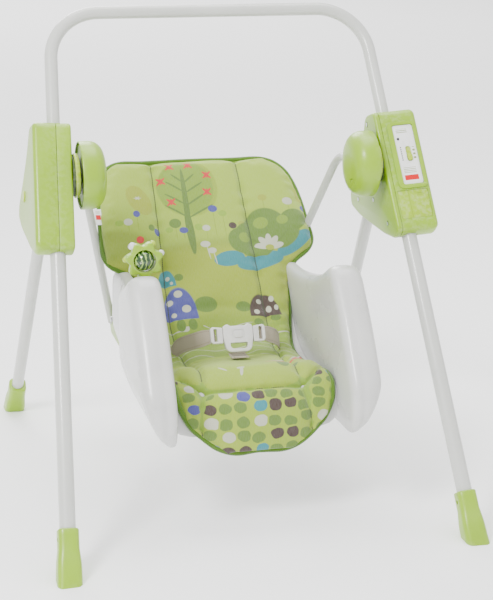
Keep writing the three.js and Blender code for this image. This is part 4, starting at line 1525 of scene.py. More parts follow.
@dataclass(frozen=True)
class Spot:
    """One printed oval: its middle across and along the cover, its half sizes, ink, turn and level foot."""

    ink: Ink
    x: float
    s: float
    half_x: float
    half_s: float
    turn: float = 0.0
    foot: float = NO_FOOT


def stroke(ink: Ink, start: tuple[float, float], end: tuple[float, float], half: float) -> Spot:
    """A tapered brush stroke between two points of the cover."""
    dx, ds = end[0] - start[0], end[1] - start[1]
    return Spot(ink, (start[0] + end[0]) / 2, (start[1] + end[1]) / 2, math.hypot(dx, ds) / 2, half,
                -math.degrees(math.atan2(ds, dx)))


def meadow_print() -> list[Spot]:
    """The printed picture on the back of the cover, from the far hills to the nearest plants."""
    spots = [
        Spot(Ink.HILL, 60, 420, 430, 269), Spot(Ink.HILL, -150, 300, 125, 172),
        Spot(Ink.MEADOW, 10, 470, 560, 303),
        Spot(Ink.LEAF, -98, 77, 17, 29, 24), Spot(Ink.LEAF, 172, 66, 12, 25, -14),
        Spot(Ink.CROWN_RIM, -18, 60, 49, 51), Spot(Ink.CROWN, -21, 59, 45, 48),
    ]
    spots += [stroke(Ink.CREAM, (-103 + dx, 70 + ds), (-97 - dx, 76 - ds), 0.9)
              for dx, ds in ((0, 0), (0, 6), (-3, 3))]
    spots += [stroke(Ink.TRUNK, (-24, 24), (-24, 176), 4.6), stroke(Ink.TRUNK, (-25, 95), (-22, 178), 6.4)]
    for start, end in (
        ((-24, 50), (-42, 33)), ((-24, 52), (-4, 35)), ((-24, 68), (-52, 46)), ((-24, 70), (8, 50)),
        ((-24, 90), (-56, 68)), ((-24, 92), (10, 70)), ((-24, 112), (-58, 88)), ((-24, 114), (20, 90))):
        spots.append(stroke(Ink.TRUNK, start, end, 1.7))
    for x, s in ((-42, 19), (-12, 18), (16, 38), (13, 68), (-59, 45), (-47, 84)):
        spots += [stroke(Ink.ORANGE, (x - 7, s - side * 6), (x + 7, s + side * 6), 1.9) for side in (-1, 1)]
        spots.append(stroke(Ink.ORANGE, (x, s - 6), (x, s + 6), 1.3))
    for x, s, low in (
        (-105, 102, 30), (-120, 116, 26), (18, 98, 54), (33, 107, 45), (3, 133, 22), (-46, 121, 33),
        (102, 82, 30), (143, 89, 30), (46, 130, 24), (62, 127, 26), (-34, 135, 20)):
        spots.append(stroke(Ink.CROWN_RIM, (x, s), (x, s + low), 0.8))
    for ink, x, s, rx, rs in (
        (Ink.VIOLET, -105, 102, 5.5, 6), (Ink.CREAM, -120, 116, 7, 6), (Ink.LIME, -134, 117, 7, 5),
        (Ink.OLIVE, -84, 127, 5, 6), (Ink.VIOLET, -76, 134, 4.5, 7), (Ink.OLIVE, -46, 122, 9.5, 8.5),
        (Ink.LIME, -57, 133, 6, 5), (Ink.VIOLET, -34, 135, 7, 5.5), (Ink.LIME, -9, 130, 6.5, 6),
        (Ink.CREAM, 3, 132, 6.5, 5.5), (Ink.VIOLET, 18, 98, 7.5, 6), (Ink.LIME, 33, 107, 6.5, 5.5),
        (Ink.BROWN, 46, 130, 6.5, 6), (Ink.LEAF, 62, 127, 6.5, 5.5), (Ink.LEAF, 102, 82, 7.5, 6),
        (Ink.CREAM, 143, 89, 8.5, 7), (Ink.VIOLET, 170, 101, 7, 6),
    ):
        spots.append(Spot(ink, x, s, rx, rs))
    spots += pond_and_bush()
    spots += hillocks()
    return spots


def pond_and_bush() -> list[Spot]:
    """A pond at the foot of a round-leaved bush, with one water lily."""
    spots = [
        Spot(Ink.TURQUOISE, 32, 189, 25, 13, 6), Spot(Ink.TURQUOISE, 82, 194, 40, 14, 12),
        Spot(Ink.TURQUOISE, 143, 164, 38, 12, 33),
        Spot(Ink.OLIVE, 56, 158, 21, 23, 18), Spot(Ink.OLIVE, 100, 138, 36, 36, 0, 182),
        Spot(Ink.OLIVE, 146, 124, 24, 19, 28),
        Spot(Ink.OLIVE, 78, 156, 34, 34, 0, 186), Spot(Ink.OLIVE, 122, 146, 34, 26, 30),
        Spot(Ink.CROWN, 92, 128, 12, 10, 10), Spot(Ink.CROWN, 128, 124, 10, 8, 20),
        Spot(Ink.CROWN, 62, 152, 9, 9),
    ]
    spots += [stroke(Ink.TRUNK, (100, 176), (100 + dx, 176 - ds), 1.4)
              for dx, ds in ((-34, 30), (0, 42), (36, 34))]
    for petal in range(5):
        angle = math.radians(90 + (petal - 2) * 38)
        spots.append(Spot(Ink.CREAM, 100 + 12 * math.cos(angle), 172 - 12 * math.sin(angle), 12, 5.2,
                          math.degrees(angle)))
    spots.append(Spot(Ink.LEAF, 100, 172, 7, 5))
    spots += [Spot(Ink.CREAM, -3, 161, 8, 5.5), Spot(Ink.CREAM, 6, 173, 7, 5),
              Spot(Ink.CREAM, -118, 158, 8, 6),
              Spot(Ink.ORANGE, -105, 148, 6, 6), stroke(Ink.CREAM, (-1, 165), (2, 188), 0.9),
              stroke(Ink.CREAM, (8, 176), (11, 198), 0.9)]
    return spots


def hillocks() -> list[Spot]:
    """Round spotted hillocks with little bushes beside them, and loose strokes below."""
    spots = [
        Spot(Ink.OLIVE, -17, 264, 18, 13), Spot(Ink.OLIVE, -53, 215, 7, 6),
        Spot(Ink.OLIVE, 42, 271, 12, 9, -8),
        Spot(Ink.OLIVE, -60, 297, 7, 11), Spot(Ink.OLIVE, -42, 297, 7, 10),
        Spot(Ink.OLIVE, 62, 300, 8, 7), Spot(Ink.OLIVE, 90, 293, 8, 6),
        Spot(Ink.TURQUOISE, -72, 230, 14, 30, 0, 228), Spot(Ink.CREAM, -70, 215, 3, 3.5),
        Spot(Ink.CREAM, -65, 223, 2.4, 2.6),
        Spot(Ink.VIOLET, -58, 288, 27, 56, 0, 287),
        Spot(Ink.CREAM, -58, 243, 6.5, 6), Spot(Ink.CREAM, -48, 269, 7, 6), Spot(Ink.CREAM, -72, 256, 5, 5),
        Spot(Ink.CREAM, -68, 278, 4, 4),
        Spot(Ink.BROWN, 76, 290, 25, 40, 8, 289),
        Spot(Ink.CREAM, 62, 281, 4.5, 4.5), Spot(Ink.CREAM, 68, 263, 4.5, 4), Spot(Ink.CREAM, 88, 260, 4, 5),
        Spot(Ink.CREAM, 82, 277, 4, 6), Spot(Ink.CREAM, 94, 275, 3.4, 4.5),
        stroke(Ink.ORANGE, (30, 466), (84, 436), 3.6), stroke(Ink.ORANGE, (80, 432), (116, 378), 4.6),
        stroke(Ink.CREAM, (36, 456), (74, 432), 1.6), stroke(Ink.CREAM, (78, 424), (106, 388), 1.6),
        Spot(Ink.OLIVE, 52, 482, 9, 11), Spot(Ink.OLIVE, 70, 470, 8, 12), Spot(Ink.OLIVE, 104, 440, 8, 14),
        stroke(Ink.CREAM, (-45, 486), (-33, 494), 1.6), stroke(Ink.CREAM, (-10, 486), (-14, 504), 2.4),
        stroke(Ink.CREAM, (-18, 490), (-6, 488), 2.2),
    ]
    return spots


@dataclass(frozen=True)
class PrintedCover:
    """Printed cotton cover: the picture, the pebbled front panel, quilting thread with painted shade in the
    seam folds, weave with painted shade in its hollows, and creases.
    """

    name: str = "printed_cover"
    pitch: float = 0.00075
    pebble_x: float = 0.0235
    pebble_s: float = 0.0200
    water_from: float = 0.300
    seat_from: float = 0.398

    def picture(self, graph: Graph, place: Socket, s: Socket) -> Socket:
        """The back's printed picture, as a colour."""
        colour: object = graph.mix(graph.ramp(s, 0.0, 0.16), tuple(c * 1.06 for c in Ink.SKY.value),
                                   Ink.SKY.value)
        spots = meadow_print()
        for index, spot in enumerate(spots):
            if index == 3:
                colour = self.lower_fields(graph, colour, place, s)
            node = EFFECTS.place(graph, Effect.SPOT, cloth=colour, ink=(*spot.ink.value, 1.0), point=place,
                                 centre=(spot.x * METRE, spot.s * METRE, 0.0),
                                 reach=(spot.half_x * METRE, spot.half_s * METRE, 1.0),
                                 turn=math.radians(spot.turn), foot=spot.foot * METRE)
            colour = node.outputs[0]
        return colour

    def lower_fields(self, graph: Graph, colour: object, place: Socket, s: Socket) -> object:
        """Darker lower meadow, pale ripples, and the light cloth of the seat."""
        colour = graph.mix(graph.ramp(s, 0.22, 0.34), colour, Ink.LOW_MEADOW.value)
        swell = graph.noise(place, 14.0, 1.0)
        ripple = graph.math("FRACT", graph.math("MULTIPLY_ADD", s, 46.0, graph.math("MULTIPLY", swell, 3.4)))
        line = graph.math("LESS_THAN", graph.math("ABSOLUTE", graph.math("SUBTRACT", ripple, 0.5)), 0.035)
        inside = graph.math("MULTIPLY", graph.math("GREATER_THAN", s, self.water_from),
                            graph.math("LESS_THAN", s, self.seat_from))
        band = graph.math("MULTIPLY", graph.math("GREATER_THAN", ripple, 0.5),
                          graph.math("MULTIPLY", inside, 0.55))
        colour = graph.mix(band, colour, Ink.CROWN.value)
        colour = graph.mix(graph.math("MULTIPLY", line, inside), colour, Ink.CREAM.value)
        return graph.mix(graph.ramp(s, self.seat_from, self.seat_from + 0.001), colour, Ink.SEAT.value)

    def pebbles(self, graph: Graph, place: Socket) -> Socket:
        """Rows of rounded pebbles in a few inks on lime."""
        wobble = graph.add("TexNoise")
        graph.give(wobble, vector=place, scale=55.0)
        shift = graph.vector("MULTIPLY_ADD", wobble.outputs["Color"], (0.006, 0.006, 0.0), place)
        cells = graph.vector("DIVIDE", shift.outputs[0], (self.pebble_x, self.pebble_s, 1.0))
        edge = graph.add("TexVoronoi", voronoi_dimensions="2D", feature="DISTANCE_TO_EDGE")
        cell = graph.add("TexVoronoi", voronoi_dimensions="2D", feature="F1")
        for node in (edge, cell):
            graph.give(node, vector=cells.outputs[0], scale=1.0, randomness=0.34)
        clear = graph.ramp(edge.outputs["Distance"], 0.045, 0.07)
        near = graph.ramp(cell.outputs["Distance"], 0.425, 0.395)
        parts = graph.add("SeparateColor")
        graph.feed(parts.inputs[0], cell.outputs["Color"])
        inks = graph.add("ValToRGB")
        inks.color_ramp.interpolation = "CONSTANT"
        for at, ink in ((0.0, Ink.OLIVE), (0.60, Ink.BROWN), (0.76, Ink.CREAM), (0.86, Ink.TURQUOISE),
                        (0.94, Ink.VIOLET)):
            stop = inks.color_ramp.elements[0] if at == 0.0 else inks.color_ramp.elements.new(at)
            stop.color = (*ink.value, 1.0)
        inks.color_ramp.elements.remove(inks.color_ramp.elements[-1])
        graph.feed(inks.inputs[0], parts.outputs[0])
        return graph.mix(graph.math("MULTIPLY", clear, near), Ink.PANEL.value, inks.outputs[0])

    def build(self) -> bpy.types.Material:
        """Returns the material."""
        material, graph, shader = new_material(self.name)
        place = graph.add("UVMap", uv_map="cloth").outputs[0]
        parts = graph.split(place)
        s = parts.outputs[1]
        seam = graph.add("Attribute", attribute_name="seam_gap").outputs["Fac"]
        panel = graph.add("Attribute", attribute_name="panel_gap").outputs["Fac"]
        under = graph.add("Attribute", attribute_name="under_side").outputs["Fac"]
        printed = graph.mix(graph.math("GREATER_THAN", panel, 0.0), self.picture(graph, place, s),
                            self.pebbles(graph, place))
        plain = graph.mix(graph.ramp(under, 0.45, 0.55), printed, tuple(c * 0.9 for c in Ink.LIME.value))
        along, across = (graph.dashes(way, 0.0034, 0.74) for way in (s, parts.outputs[0]))
        seam_shade_and_stitches = graph.math("MAXIMUM", self.thread(graph, seam, along), self.thread(graph, panel, across))
        seen = graph.math("MULTIPLY", seam_shade_and_stitches, graph.ramp(under, 0.5, 0.4))
        weave = EFFECTS.place(graph, Effect.WEAVE, vector=place, pitch=self.pitch)
        # painted shade in the seam folds, with the dark stitches, on the upper side only
        sewn = graph.mix(seen, plain, Ink.THREAD_AND_SEAM_SHADE.value)
        # painted shade in the weave's hollows: the colour is darkened more where the threads dip
        threads = graph.math("MULTIPLY_ADD", weave.outputs["Height"], 0.14, 0.60)
        faded = graph.mix(graph.math("MULTIPLY", weave.outputs["Thread"], 0.10), sewn, (0.9, 0.9, 0.8))
        graph.feed(shader.inputs["Base Color"], graph.mix(1.0, faded, self.grey(graph, threads), "MULTIPLY"))
        creases = graph.noise(place, 26.0, 5.0, stretch=(1.0, 0.6, 1.0))
        soft = graph.bump(creases, 0.004, 0.35)
        graph.give(shader, normal=graph.bump(weave.outputs["Height"], 0.00016, 0.8, normal=soft),
                   roughness=0.86, sheen_weight=0.22, sheen_roughness=0.5)
        return material

    @staticmethod
    def thread(graph: Graph, gap: object, dash: object) -> Socket:
        """Mask beside a seam: painted shade along the seam's fold, with the sewing thread's stitches in it.
        """
        away = graph.math("ABSOLUTE", gap)
        # painted shade: a dark band along the fold, darker still at each stitch
        fold = graph.ramp(away, 0.0013, 0.0004)
        return graph.math("MULTIPLY", fold, graph.math("MULTIPLY_ADD", dash, 0.35, 0.65))

    @staticmethod
    def grey(graph: Graph, value: object) -> Socket:
        """A value as a grey colour."""
        node = graph.add("CombineColor")
        for socket in node.inputs[:3]:
            graph.feed(socket, value)
        return node.outputs[0]


COVER = PrintedCover()


def map_cloth(piece: Piece, places: np.ndarray) -> None:
    """Gives a piece its cloth map, in metres, from one place per vertex.

    Args:
        piece: The piece.
        places: (across, along) of each vertex, in millimetres.
    """
    layer = piece.data.uv_layers.get("cloth") or piece.data.uv_layers.new(name="cloth")
    corners = np.empty(len(piece.data.loops), dtype=np.int32)
    piece.data.loops.foreach_get("vertex_index", corners)
    layer.data.foreach_set("uv", (places[corners] * METRE).astype(np.float32).ravel())


def vertices_of(piece: Piece) -> np.ndarray:
    """The piece's vertices, one row each."""
    flat = np.empty(len(piece.data.vertices) * 3)
    piece.data.vertices.foreach_get("co", flat)
    return flat.reshape(-1, 3)


def set_vertices(piece: Piece, points: np.ndarray) -> None:
    """Moves the piece's vertices."""
    piece.data.vertices.foreach_set("co", points.ravel())
    piece.data.update()


@dataclass
class SeatCover:
    """The padded, quilted cover: a stuffed slab that follows the seat, sewn down along its seams."""

    shop: Workshop
    left_widths: tuple = (
        (0, 128), (0.012, 142), (0.05, 155), (0.12, 163), (0.2, 166), (0.285, 165), (0.305, 146),
        (0.33, 121), (0.42, 117), (0.55, 102), (0.64, 106), (0.76, 115), (0.86, 115.5), (0.92, 105),
        (0.96, 84), (1, 44))
    right_widths: tuple = (
        (0, 118), (0.012, 138), (0.03, 152), (0.06, 163), (0.12, 173), (0.2, 178), (0.262, 179),
        (0.285, 158), (0.32, 132), (0.42, 124), (0.55, 109), (0.64, 113), (0.76, 120), (0.86, 120.5),
        (0.92, 111), (0.96, 89), (1, 48))
    seams: tuple = ((-40, 68), (11, 70), (66, 71), (147, 73), (225, 75), (296, 76), (400, 72), (487, 70),
                    (520, 73), (586, 80))
    voxel: float = 0.0045
    thick: float = 17.0
    most: float = 7.0

    def width(self, s: np.ndarray, side: np.ndarray) -> np.ndarray:
        """Half width of the cover at distances along it, on the side that the sign gives."""
        left, right = (np.interp(s / SPINE.length, *np.array(widths, float).T)
                       for widths in (self.left_widths, self.right_widths))
        return np.where(side < 0, left, right)

    def seam(self, s: np.ndarray) -> np.ndarray:
        """Distance of the long seams from the middle."""
        at, half = np.array(self.seams, float).T
        return np.interp(s, at, half)

    @staticmethod
    def cross(x: np.ndarray) -> np.ndarray:
        """Where the front panel's seam runs, along the cover."""
        return 531 - 1.2 * np.maximum(0.0, np.abs(x) - 70)

    def slab(self) -> Piece:
        """The cover before it is stuffed."""
        Bench.clear()
        bpy.ops.mesh.primitive_grid_add(x_subdivisions=48, y_subdivisions=120, size=2)
        piece = Bench.named("padded_cover")
        points = vertices_of(piece)
        s = SPINE.length * (1 - points[:, 1]) / 2
        u = points[:, 0]
        x = u * (self.width(s, u) - 3)
        s = s + np.clip(1 - s / 60, 0, 1) * (3 * np.exp(-((np.abs(x) - 70) / 15) ** 2) - 2)
        placed = []
        for x_one, s_one, u_one in zip(x, s, u):
            at, out = SPINE.at(float(s_one))
            spot = at - out * (self.thick / 2 + 1.5 + 5 * u_one ** 4)
            placed.append((x_one, spot.y, spot.z))
        set_vertices(piece, np.array(placed))
        Bench.modify(piece, "SOLIDIFY", thickness=self.thick, offset=0.0, use_even_offset=True)
        Bench.weld(piece)
        piece.data.transform(Matrix.Scale(METRE, 4))
        Bench.modify(piece, "REMESH", mode="VOXEL", voxel_size=self.voxel, use_smooth_shade=True)
        Bench.modify(piece, "SMOOTH", factor=0.5, iterations=3)
        return piece

    def stuff(self, piece: Piece) -> None:
        """Fills the slab with a short cloth simulation, and limits how far it swells."""
        before = vertices_of(piece).copy()
        Bench.take(piece)
        modifier = piece.modifiers.new("stuffing", "CLOTH")
        settings = modifier.settings
        settings.use_pressure = True
        settings.uniform_pressure_force = 4.0
        settings.effector_weights.gravity = 0.0
        settings.quality = 6
        settings.tension_stiffness = settings.compression_stiffness = 15.0
        settings.bending_stiffness = 0.6
        for frame in range(1, 21):
            bpy.context.scene.frame_set(frame)
        bpy.ops.object.modifier_apply(modifier=modifier.name)
        bpy.context.scene.frame_set(1)
        after = vertices_of(piece)
        _, height = SPINE.measured(before / METRE)
        move = after - before
        length = np.linalg.norm(move, axis=1)
        upper = np.clip((height + 16) / 8, 0, 1)
        limit = self.most * METRE * upper
        move *= np.where(length > 1e-9, np.minimum(1.0, limit / np.maximum(length, 1e-9)), 1.0)[:, None]
        move[:, 0] = np.clip(move[:, 0], -0.0022, 0.0022)
        set_vertices(piece, before + move)

    def quilt(self, piece: Piece) -> None:
        """Draws the seams down, with puckers beside them and soft wrinkles between."""
        points = vertices_of(piece) / METRE
        s, height = SPINE.measured(points)
        x = points[:, 0]
        top = np.clip((height + 13) / 7, 0, 1)
        seam = np.abs(x) - self.seam(s)
        panel = s - self.cross(x)
        rim = self.width(s, x) - np.abs(x)
        inside = np.clip((rim - 6) / 8, 0, 1)
        groove = 5.0 * np.exp(-(seam / 4.4) ** 2) + 3.8 * np.exp(-(seam / 18) ** 2)
        groove += 4.6 * np.exp(-(panel / 4.4) ** 2) + 3.0 * np.exp(-(panel / 15) ** 2)
        side = np.sign(x)
        pucker = np.sin(s / 5.3 + 1.4 * np.sin(s / 17 + side)) * np.exp(-(seam / 11) ** 2)
        pucker += np.sin(x / 5.1 + 1.2 * np.sin(x / 15)) * np.exp(-(panel / 10) ** 2)
        wave = np.sin(s / 27 + 0.9 * np.sin(x / 31)) * np.sin(x / 44 + 1.1 + 0.7 * np.sin(s / 38))
        fold = (np.exp(-((s - 268 - 0.10 * np.abs(x)) / 9) ** 2) * 2.0
                + np.exp(-((s - 402 + 0.08 * x) / 10) ** 2) * 1.6)
        tuck = np.sin(s / 4.1 + 1.3 * np.sin(s / 13 + 2 * side)) * np.exp(-((rim - 12) / 12) ** 2)
        fall = top * inside * (groove - 1.2 * pucker - 2.3 * wave + fold - 0.9 * tuck)
        outs = np.array([tuple(SPINE.at(float(v))[1]) for v in np.linspace(-20, SPINE.length + 20, 400)])
        share = np.clip((s + 20) / (SPINE.length + 40), 0, 1) * 399
        out = outs[np.rint(share).astype(int)]
        points -= out * fall[:, None]
        set_vertices(piece, points * METRE)

    def measure(self, piece: Piece) -> None:
        """Writes the cover's cloth map and the distances to its seams."""
        points = vertices_of(piece) / METRE
        s, height = SPINE.measured(points)
        x = points[:, 0]
        map_cloth(piece, np.stack([x, s], axis=1))
        below = np.clip((-8.5 - height) / 3, 0, 1)
        facts = {"seam_gap": (np.abs(x) - self.seam(s)) * METRE, "panel_gap": (s - self.cross(x)) * METRE,
                 "under_side": below}
        for name, values in facts.items():
            layer = piece.data.attributes.new(name, "FLOAT", "POINT")
            layer.data.foreach_set("value", values.astype(np.float32))

    def edge_line(self, piece: Piece) -> list[tuple[float, float, float]]:
        """The cover's rim as (x, s, height) points round it."""
        rim = np.linspace(0, SPINE.length, 110)
        right = np.stack([self.width(rim, np.ones(len(rim))), rim], axis=1)
        left = np.stack([-self.width(rim, -np.ones(len(rim))), rim], axis=1)[::-1]
        loop = np.vstack([right, left])
        steps = np.linalg.norm(np.diff(np.vstack([loop, loop[:1]]), axis=0), axis=1)
        run = np.concatenate([[0], np.cumsum(steps)])
        even = np.linspace(0, run[-1], 360, endpoint=False)
        closed = np.vstack([loop, loop[:1]])
        path = np.stack([np.interp(even, run, closed[:, i]) for i in (0, 1)], axis=1)
        kernel = np.ones(9) / 9
        path = np.stack([np.convolve(np.concatenate([path[-4:, i], path[:, i], path[:4, i]]), kernel, "valid")
                         for i in (0, 1)], axis=1)
        ahead = np.roll(path, -1, axis=0) - np.roll(path, 1, axis=0)
        ahead /= np.linalg.norm(ahead, axis=1)[:, None]
        normal = np.stack([ahead[:, 1], -ahead[:, 0]], axis=1)
        points = vertices_of(piece) / METRE
        s, height = SPINE.measured(points)
        flat = np.stack([points[:, 0], s], axis=1)
        reach, level = [], []
        for spot, along, outward in zip(path, ahead, normal):
            away = flat - spot
            near = (np.abs(away @ along) < 7) & (np.abs(away @ outward) < 40)
            far = (away @ outward)[near]
            best = int(np.argmax(far)) if len(far) else 0
            reach.append(float(far[best]) if len(far) else 0.0)
            level.append(float(height[near][best]) if len(far) else -9.0)
        smooth = [np.convolve(np.concatenate([v[-6:], v, v[:6]]), np.ones(13) / 13, "valid")
                  for v in (reach, level)]
        spots = path + normal * (smooth[0] + 0.2)[:, None]
        return [(float(a), float(b), float(c)) for (a, b), c in zip(spots, smooth[1] + 1.5)]

    def binding(self, piece: Piece) -> Piece:
        """Piped binding round the cover's edge."""
        line = [SPINE.at(s)[0] + SPINE.at(s)[1] * h + Vector((x, 0, 0)) for x, s, h in self.edge_line(piece)]
        return piping("cover_binding", line, 4.2)

    def build(self) -> None:
        """Makes the cover and its binding."""
        piece = self.slab()
        self.stuff(piece)
        Bench.modify(piece, "SUBSURF", levels=1, render_levels=1)
        edge = self.binding(piece)
        self.quilt(piece)
        self.measure(piece)
        self.shop.settle(piece, COVER, "seat", "cover", "seat_pad", sharp=75, scaled=False)
        self.shop.settle(edge, BINDING, "seat", "cover", sharp=60)


def piping(name: str, line: Sequence[Vector], radius: float) -> Piece:
    """Closed round strip along a line, with its cloth map.

    Args:
        name: The piece's name.
        line: Points round it.
        radius: Its radius.

    Returns:
        The strip.
    """
    curve = bpy.data.curves.new(name, "CURVE")
    curve.dimensions = "3D"
    spline = curve.splines.new("POLY")
    spline.points.add(len(line) - 1)
    for point, spot in zip(spline.points, line):
        point.co = (*spot, 1.0)
    spline.use_cyclic_u = True
    curve.bevel_depth, curve.bevel_resolution = radius, 4
    piece = bpy.data.objects.new(name, curve)
    bpy.context.scene.collection.objects.link(piece)
    Bench.take(piece)
    bpy.ops.object.convert(target="MESH")
    piece = bpy.context.object
    piece.name = piece.data.name = name
    count = len(piece.data.vertices)
    sides = max(1, round(count / len(line)))
    gaps = [0.0]
    for before, after in zip(line, line[1:]):
        gaps.append(gaps[-1] + (after - before).length)
    places = [(2 * math.pi * radius * (i % sides) / sides, gaps[min(i // sides, len(line) - 1)])
              for i in range(count)]
    map_cloth(piece, np.array(places))
    return piece


# ---- harness ----------------------------------------------------------------------------------------


@dataclass
class Harness:
    """Buckle, its two clips, and the webbing belts."""

    shop: Workshop
    middle: tuple = (0.0, -112.0, 247.0)
    tilt: float = -25.0

    def lay(self, piece: Piece) -> None:
        """Tilts a piece with the buckle and moves it there."""
        turn = Matrix.Rotation(math.radians(self.tilt), 4, "X")
        piece.data.transform(Matrix.Translation(self.middle) @ turn)

    @staticmethod
    def tablet(name: str, corners: Sequence[Corner], half: float, edge: float) -> Piece:
        """Rounded tablet in the (x, z) plane.

        Args:
            name: The piece's name.
            corners: (x, z, reach) of its outline.
            half: Half its thickness.
            edge: Rounding of its rims.

        Returns:
            The tablet.
        """
        piece = Bench.prism(name, rounded(corners, 6), -half, half)
        piece.data.transform(FACE_ON)
        if edge > 0:
            Bench.soften(piece, lambda p: abs(p[0].y - p[1].y) < 0.01, edge, 4)
        return piece

    def body(self) -> None:
        """The buckle's body: mouths for the tongues, a barred opening for the crotch belt, and two ears."""
        body = self.tablet(
            "buckle_shell",
            [(-18, -22, 8), (18, -22, 8), (22.5, -2, 4), (22.5, 17, 4), (15, 20, 3), (11, 16.8, 2),
             (-11, 16.8, 2), (-15, 20, 3), (-22.5, 17, 4), (-22.5, -2, 4)],
            6.0, 2.0)
        opening = self.tablet("opening", [(-13, -17, 6), (13, -17, 6), (13, -8, 1.5), (-13, -8, 1.5)], 9, 0)
        mouths = [Bench.block("mouth", (min(side * 7.5, side * 24), -2.6, -2),
                              (max(side * 7.5, side * 24), 2.6, 14), 0.4)
                  for side in (-1, 1)]
        dish = self.tablet("dish", [(-9, -3, 4), (9, -3, 4), (9, 11, 4), (-9, 11, 4)], 1.0, 0)
        dish.data.transform(Matrix.Translation((0, -6.2, 0)))
        Bench.carve(body, opening, *mouths, dish)
        self.lay(body)
        self.shop.settle(body, CLIP, "seat", "white_clip", "buckle_body", sharp=32)
        key = self.tablet("release_key", [(-6.5, -1, 3.4), (6.5, -1, 3.4), (6.5, 9, 3.4), (-6.5, 9, 3.4)],
                          0.8, 0.6)
        key.data.transform(Matrix.Translation((0, -5.5, 0)))
        self.lay(key)
        self.shop.settle(key, CLIP, "seat", "white_clip", sharp=32)

    def clips(self) -> None:
        """The two side clips with the slots that their belts run through."""
        for label, side in SIDES:
            clip = self.tablet(
                f"{label}_clip_shell",
                [(23, -8, 1.8), (38, -8, 1.8), (41, -5, 1.8), (41, 14, 1.8), (38, 17, 1.8), (23, 15, 1.8)],
                4.5, 1.0)
            slot = self.tablet("slot", [(31, -5, 1.5), (36.5, -5, 1.5), (36.5, 14, 1.5), (31, 14, 1.5)], 9, 0)
            ribs = [Bench.block("rib", (25 + 2 * i, -5, -4), (25.8 + 2 * i, -4.1, 12)) for i in range(3)]
            tongue = Bench.block("tongue", (9.2, -2, -1), (24, 2, 13), 0.8)
            Bench.carve(clip, slot, *ribs)
            Bench.carve(clip, tongue, operation="UNION")
            if side < 0:
                Bench.move(clip, MIRROR)
            self.lay(clip)
            self.shop.settle(clip, CLIP, f"{label}_clip", "white_clip", f"{label}_buckle_clip", sharp=32)

    @staticmethod
    def belt(name: str, path: Sequence[Vector], across: Vector, width: float, thick: float,
             folded: float | None = None) -> Piece:
        """Webbing belt along a path.

        Args:
            name: The piece's name.
            path: Points of its middle line.
            across: Direction of its width.
            width: Its width.
            thick: Its thickness.
            folded: Its width at the start, where it is gathered in a slot.

        Returns:
            The belt.
        """
        rows, columns = 36, 12
        Bench.clear()
        bpy.ops.mesh.primitive_grid_add(x_subdivisions=columns, y_subdivisions=rows, size=2)
        piece = Bench.named(name)
        spots = np.array([tuple(p) for p in path])
        run = np.concatenate([[0], np.cumsum(np.linalg.norm(np.diff(spots, axis=0), axis=1))])
        even = np.linspace(0, run[-1], 61)
        line = np.stack([np.interp(even, run, spots[:, i]) for i in range(3)], axis=1)
        for _ in range(14):
            line[1:-1] = (line[:-2] + 2 * line[1:-1] + line[2:]) / 4
        places = []
        for vertex in piece.data.vertices:
            along = (vertex.co.y + 1) / 2
            spot = Vector([float(np.interp(along * run[-1], even, line[:, i])) for i in range(3)])
            places.append((vertex.co.x * width / 2 + width / 2, along * run[-1]))
            gather = min(1.0, along * run[-1] / 20) if folded else 1.0
            wide = (folded or width) + (width - (folded or width)) * gather
            vertex.co = spot + across.normalized() * vertex.co.x * wide / 2
        map_cloth(piece, np.array(places))
        Bench.modify(piece, "SOLIDIFY", thickness=thick, offset=0.0)
        return piece

    def belts(self) -> None:
        """Waist belts with their folded ends, and the crotch belt."""
        across = Vector((0.05, 0.46, 0.88))
        path = [Vector(p) for p in (
            (33.4, -109.0, 250.6), (38, -106.4, 249.6), (43, -104.4, 248.2), (58, -93, 240.5),
            (70, -72, 230), (79, -52, 218), (84, -38, 201))]
        for label, side in SIDES:
            belt = self.belt(f"{label}_belt", path, across, 24, 1.6, 18.2)
            if side < 0:
                Bench.move(belt, MIRROR)
            pulled = (f"{label}_clip", (side * 0.078, -0.055, 0.220), (side * 0.042, -0.105, 0.249))
            self.shop.settle(belt, WEBBING, "seat", "webbing", f"{label}_waist_belt", sharp=60, pulled=pulled)
        crotch = self.belt(
            "crotch_strap",
            [Vector(p) for p in ((0, -106, 222), (0, -110, 220.4), (0, -121, 220.6), (0, -131, 222))],
            Vector((1, 0, 0)), 25, 1.8)
        self.shop.settle(crotch, WEBBING, "seat", "webbing", "crotch_belt", sharp=60)

    def build(self) -> None:
        """Makes the whole harness."""
        self.body()
        self.clips()
        self.belts()


# ---- toy and tag ------------------------------------------------------------------------------------


@dataclass(frozen=True)
class Swirled:
    """Glossy ball with poured swirls of three colours."""

    name: str = "toy_ball"

    def build(self) -> bpy.types.Material:
        """Returns the material."""
        material, graph, shader = new_material(self.name)
        place = graph.add("TexCoord").outputs["Object"]
        band = graph.add("TexWave", wave_profile="SIN")
        graph.feed(band.inputs["Vector"], place)
        for name, value in (("Scale", 46.0), ("Distortion", 9.0), ("Detail", 3.0), ("Detail Scale", 1.4)):
            band.inputs[name].default_value = value
        fleck = graph.noise(place, 120.0, 2.0)
        green = graph.mix(graph.ramp(band.outputs["Fac"], 0.72, 0.95), linear(28, 60, 22),
                          linear(170, 196, 130))
        colour = graph.mix(graph.ramp(fleck, 0.66, 0.70), green, linear(236, 240, 224))
        graph.give(shader, base_color=colour, roughness=graph.ramp(fleck, 0.3, 0.8, 0.06, 0.16),
                   normal=graph.bump(fleck, 0.00004), coat_weight=0.8)
        return material


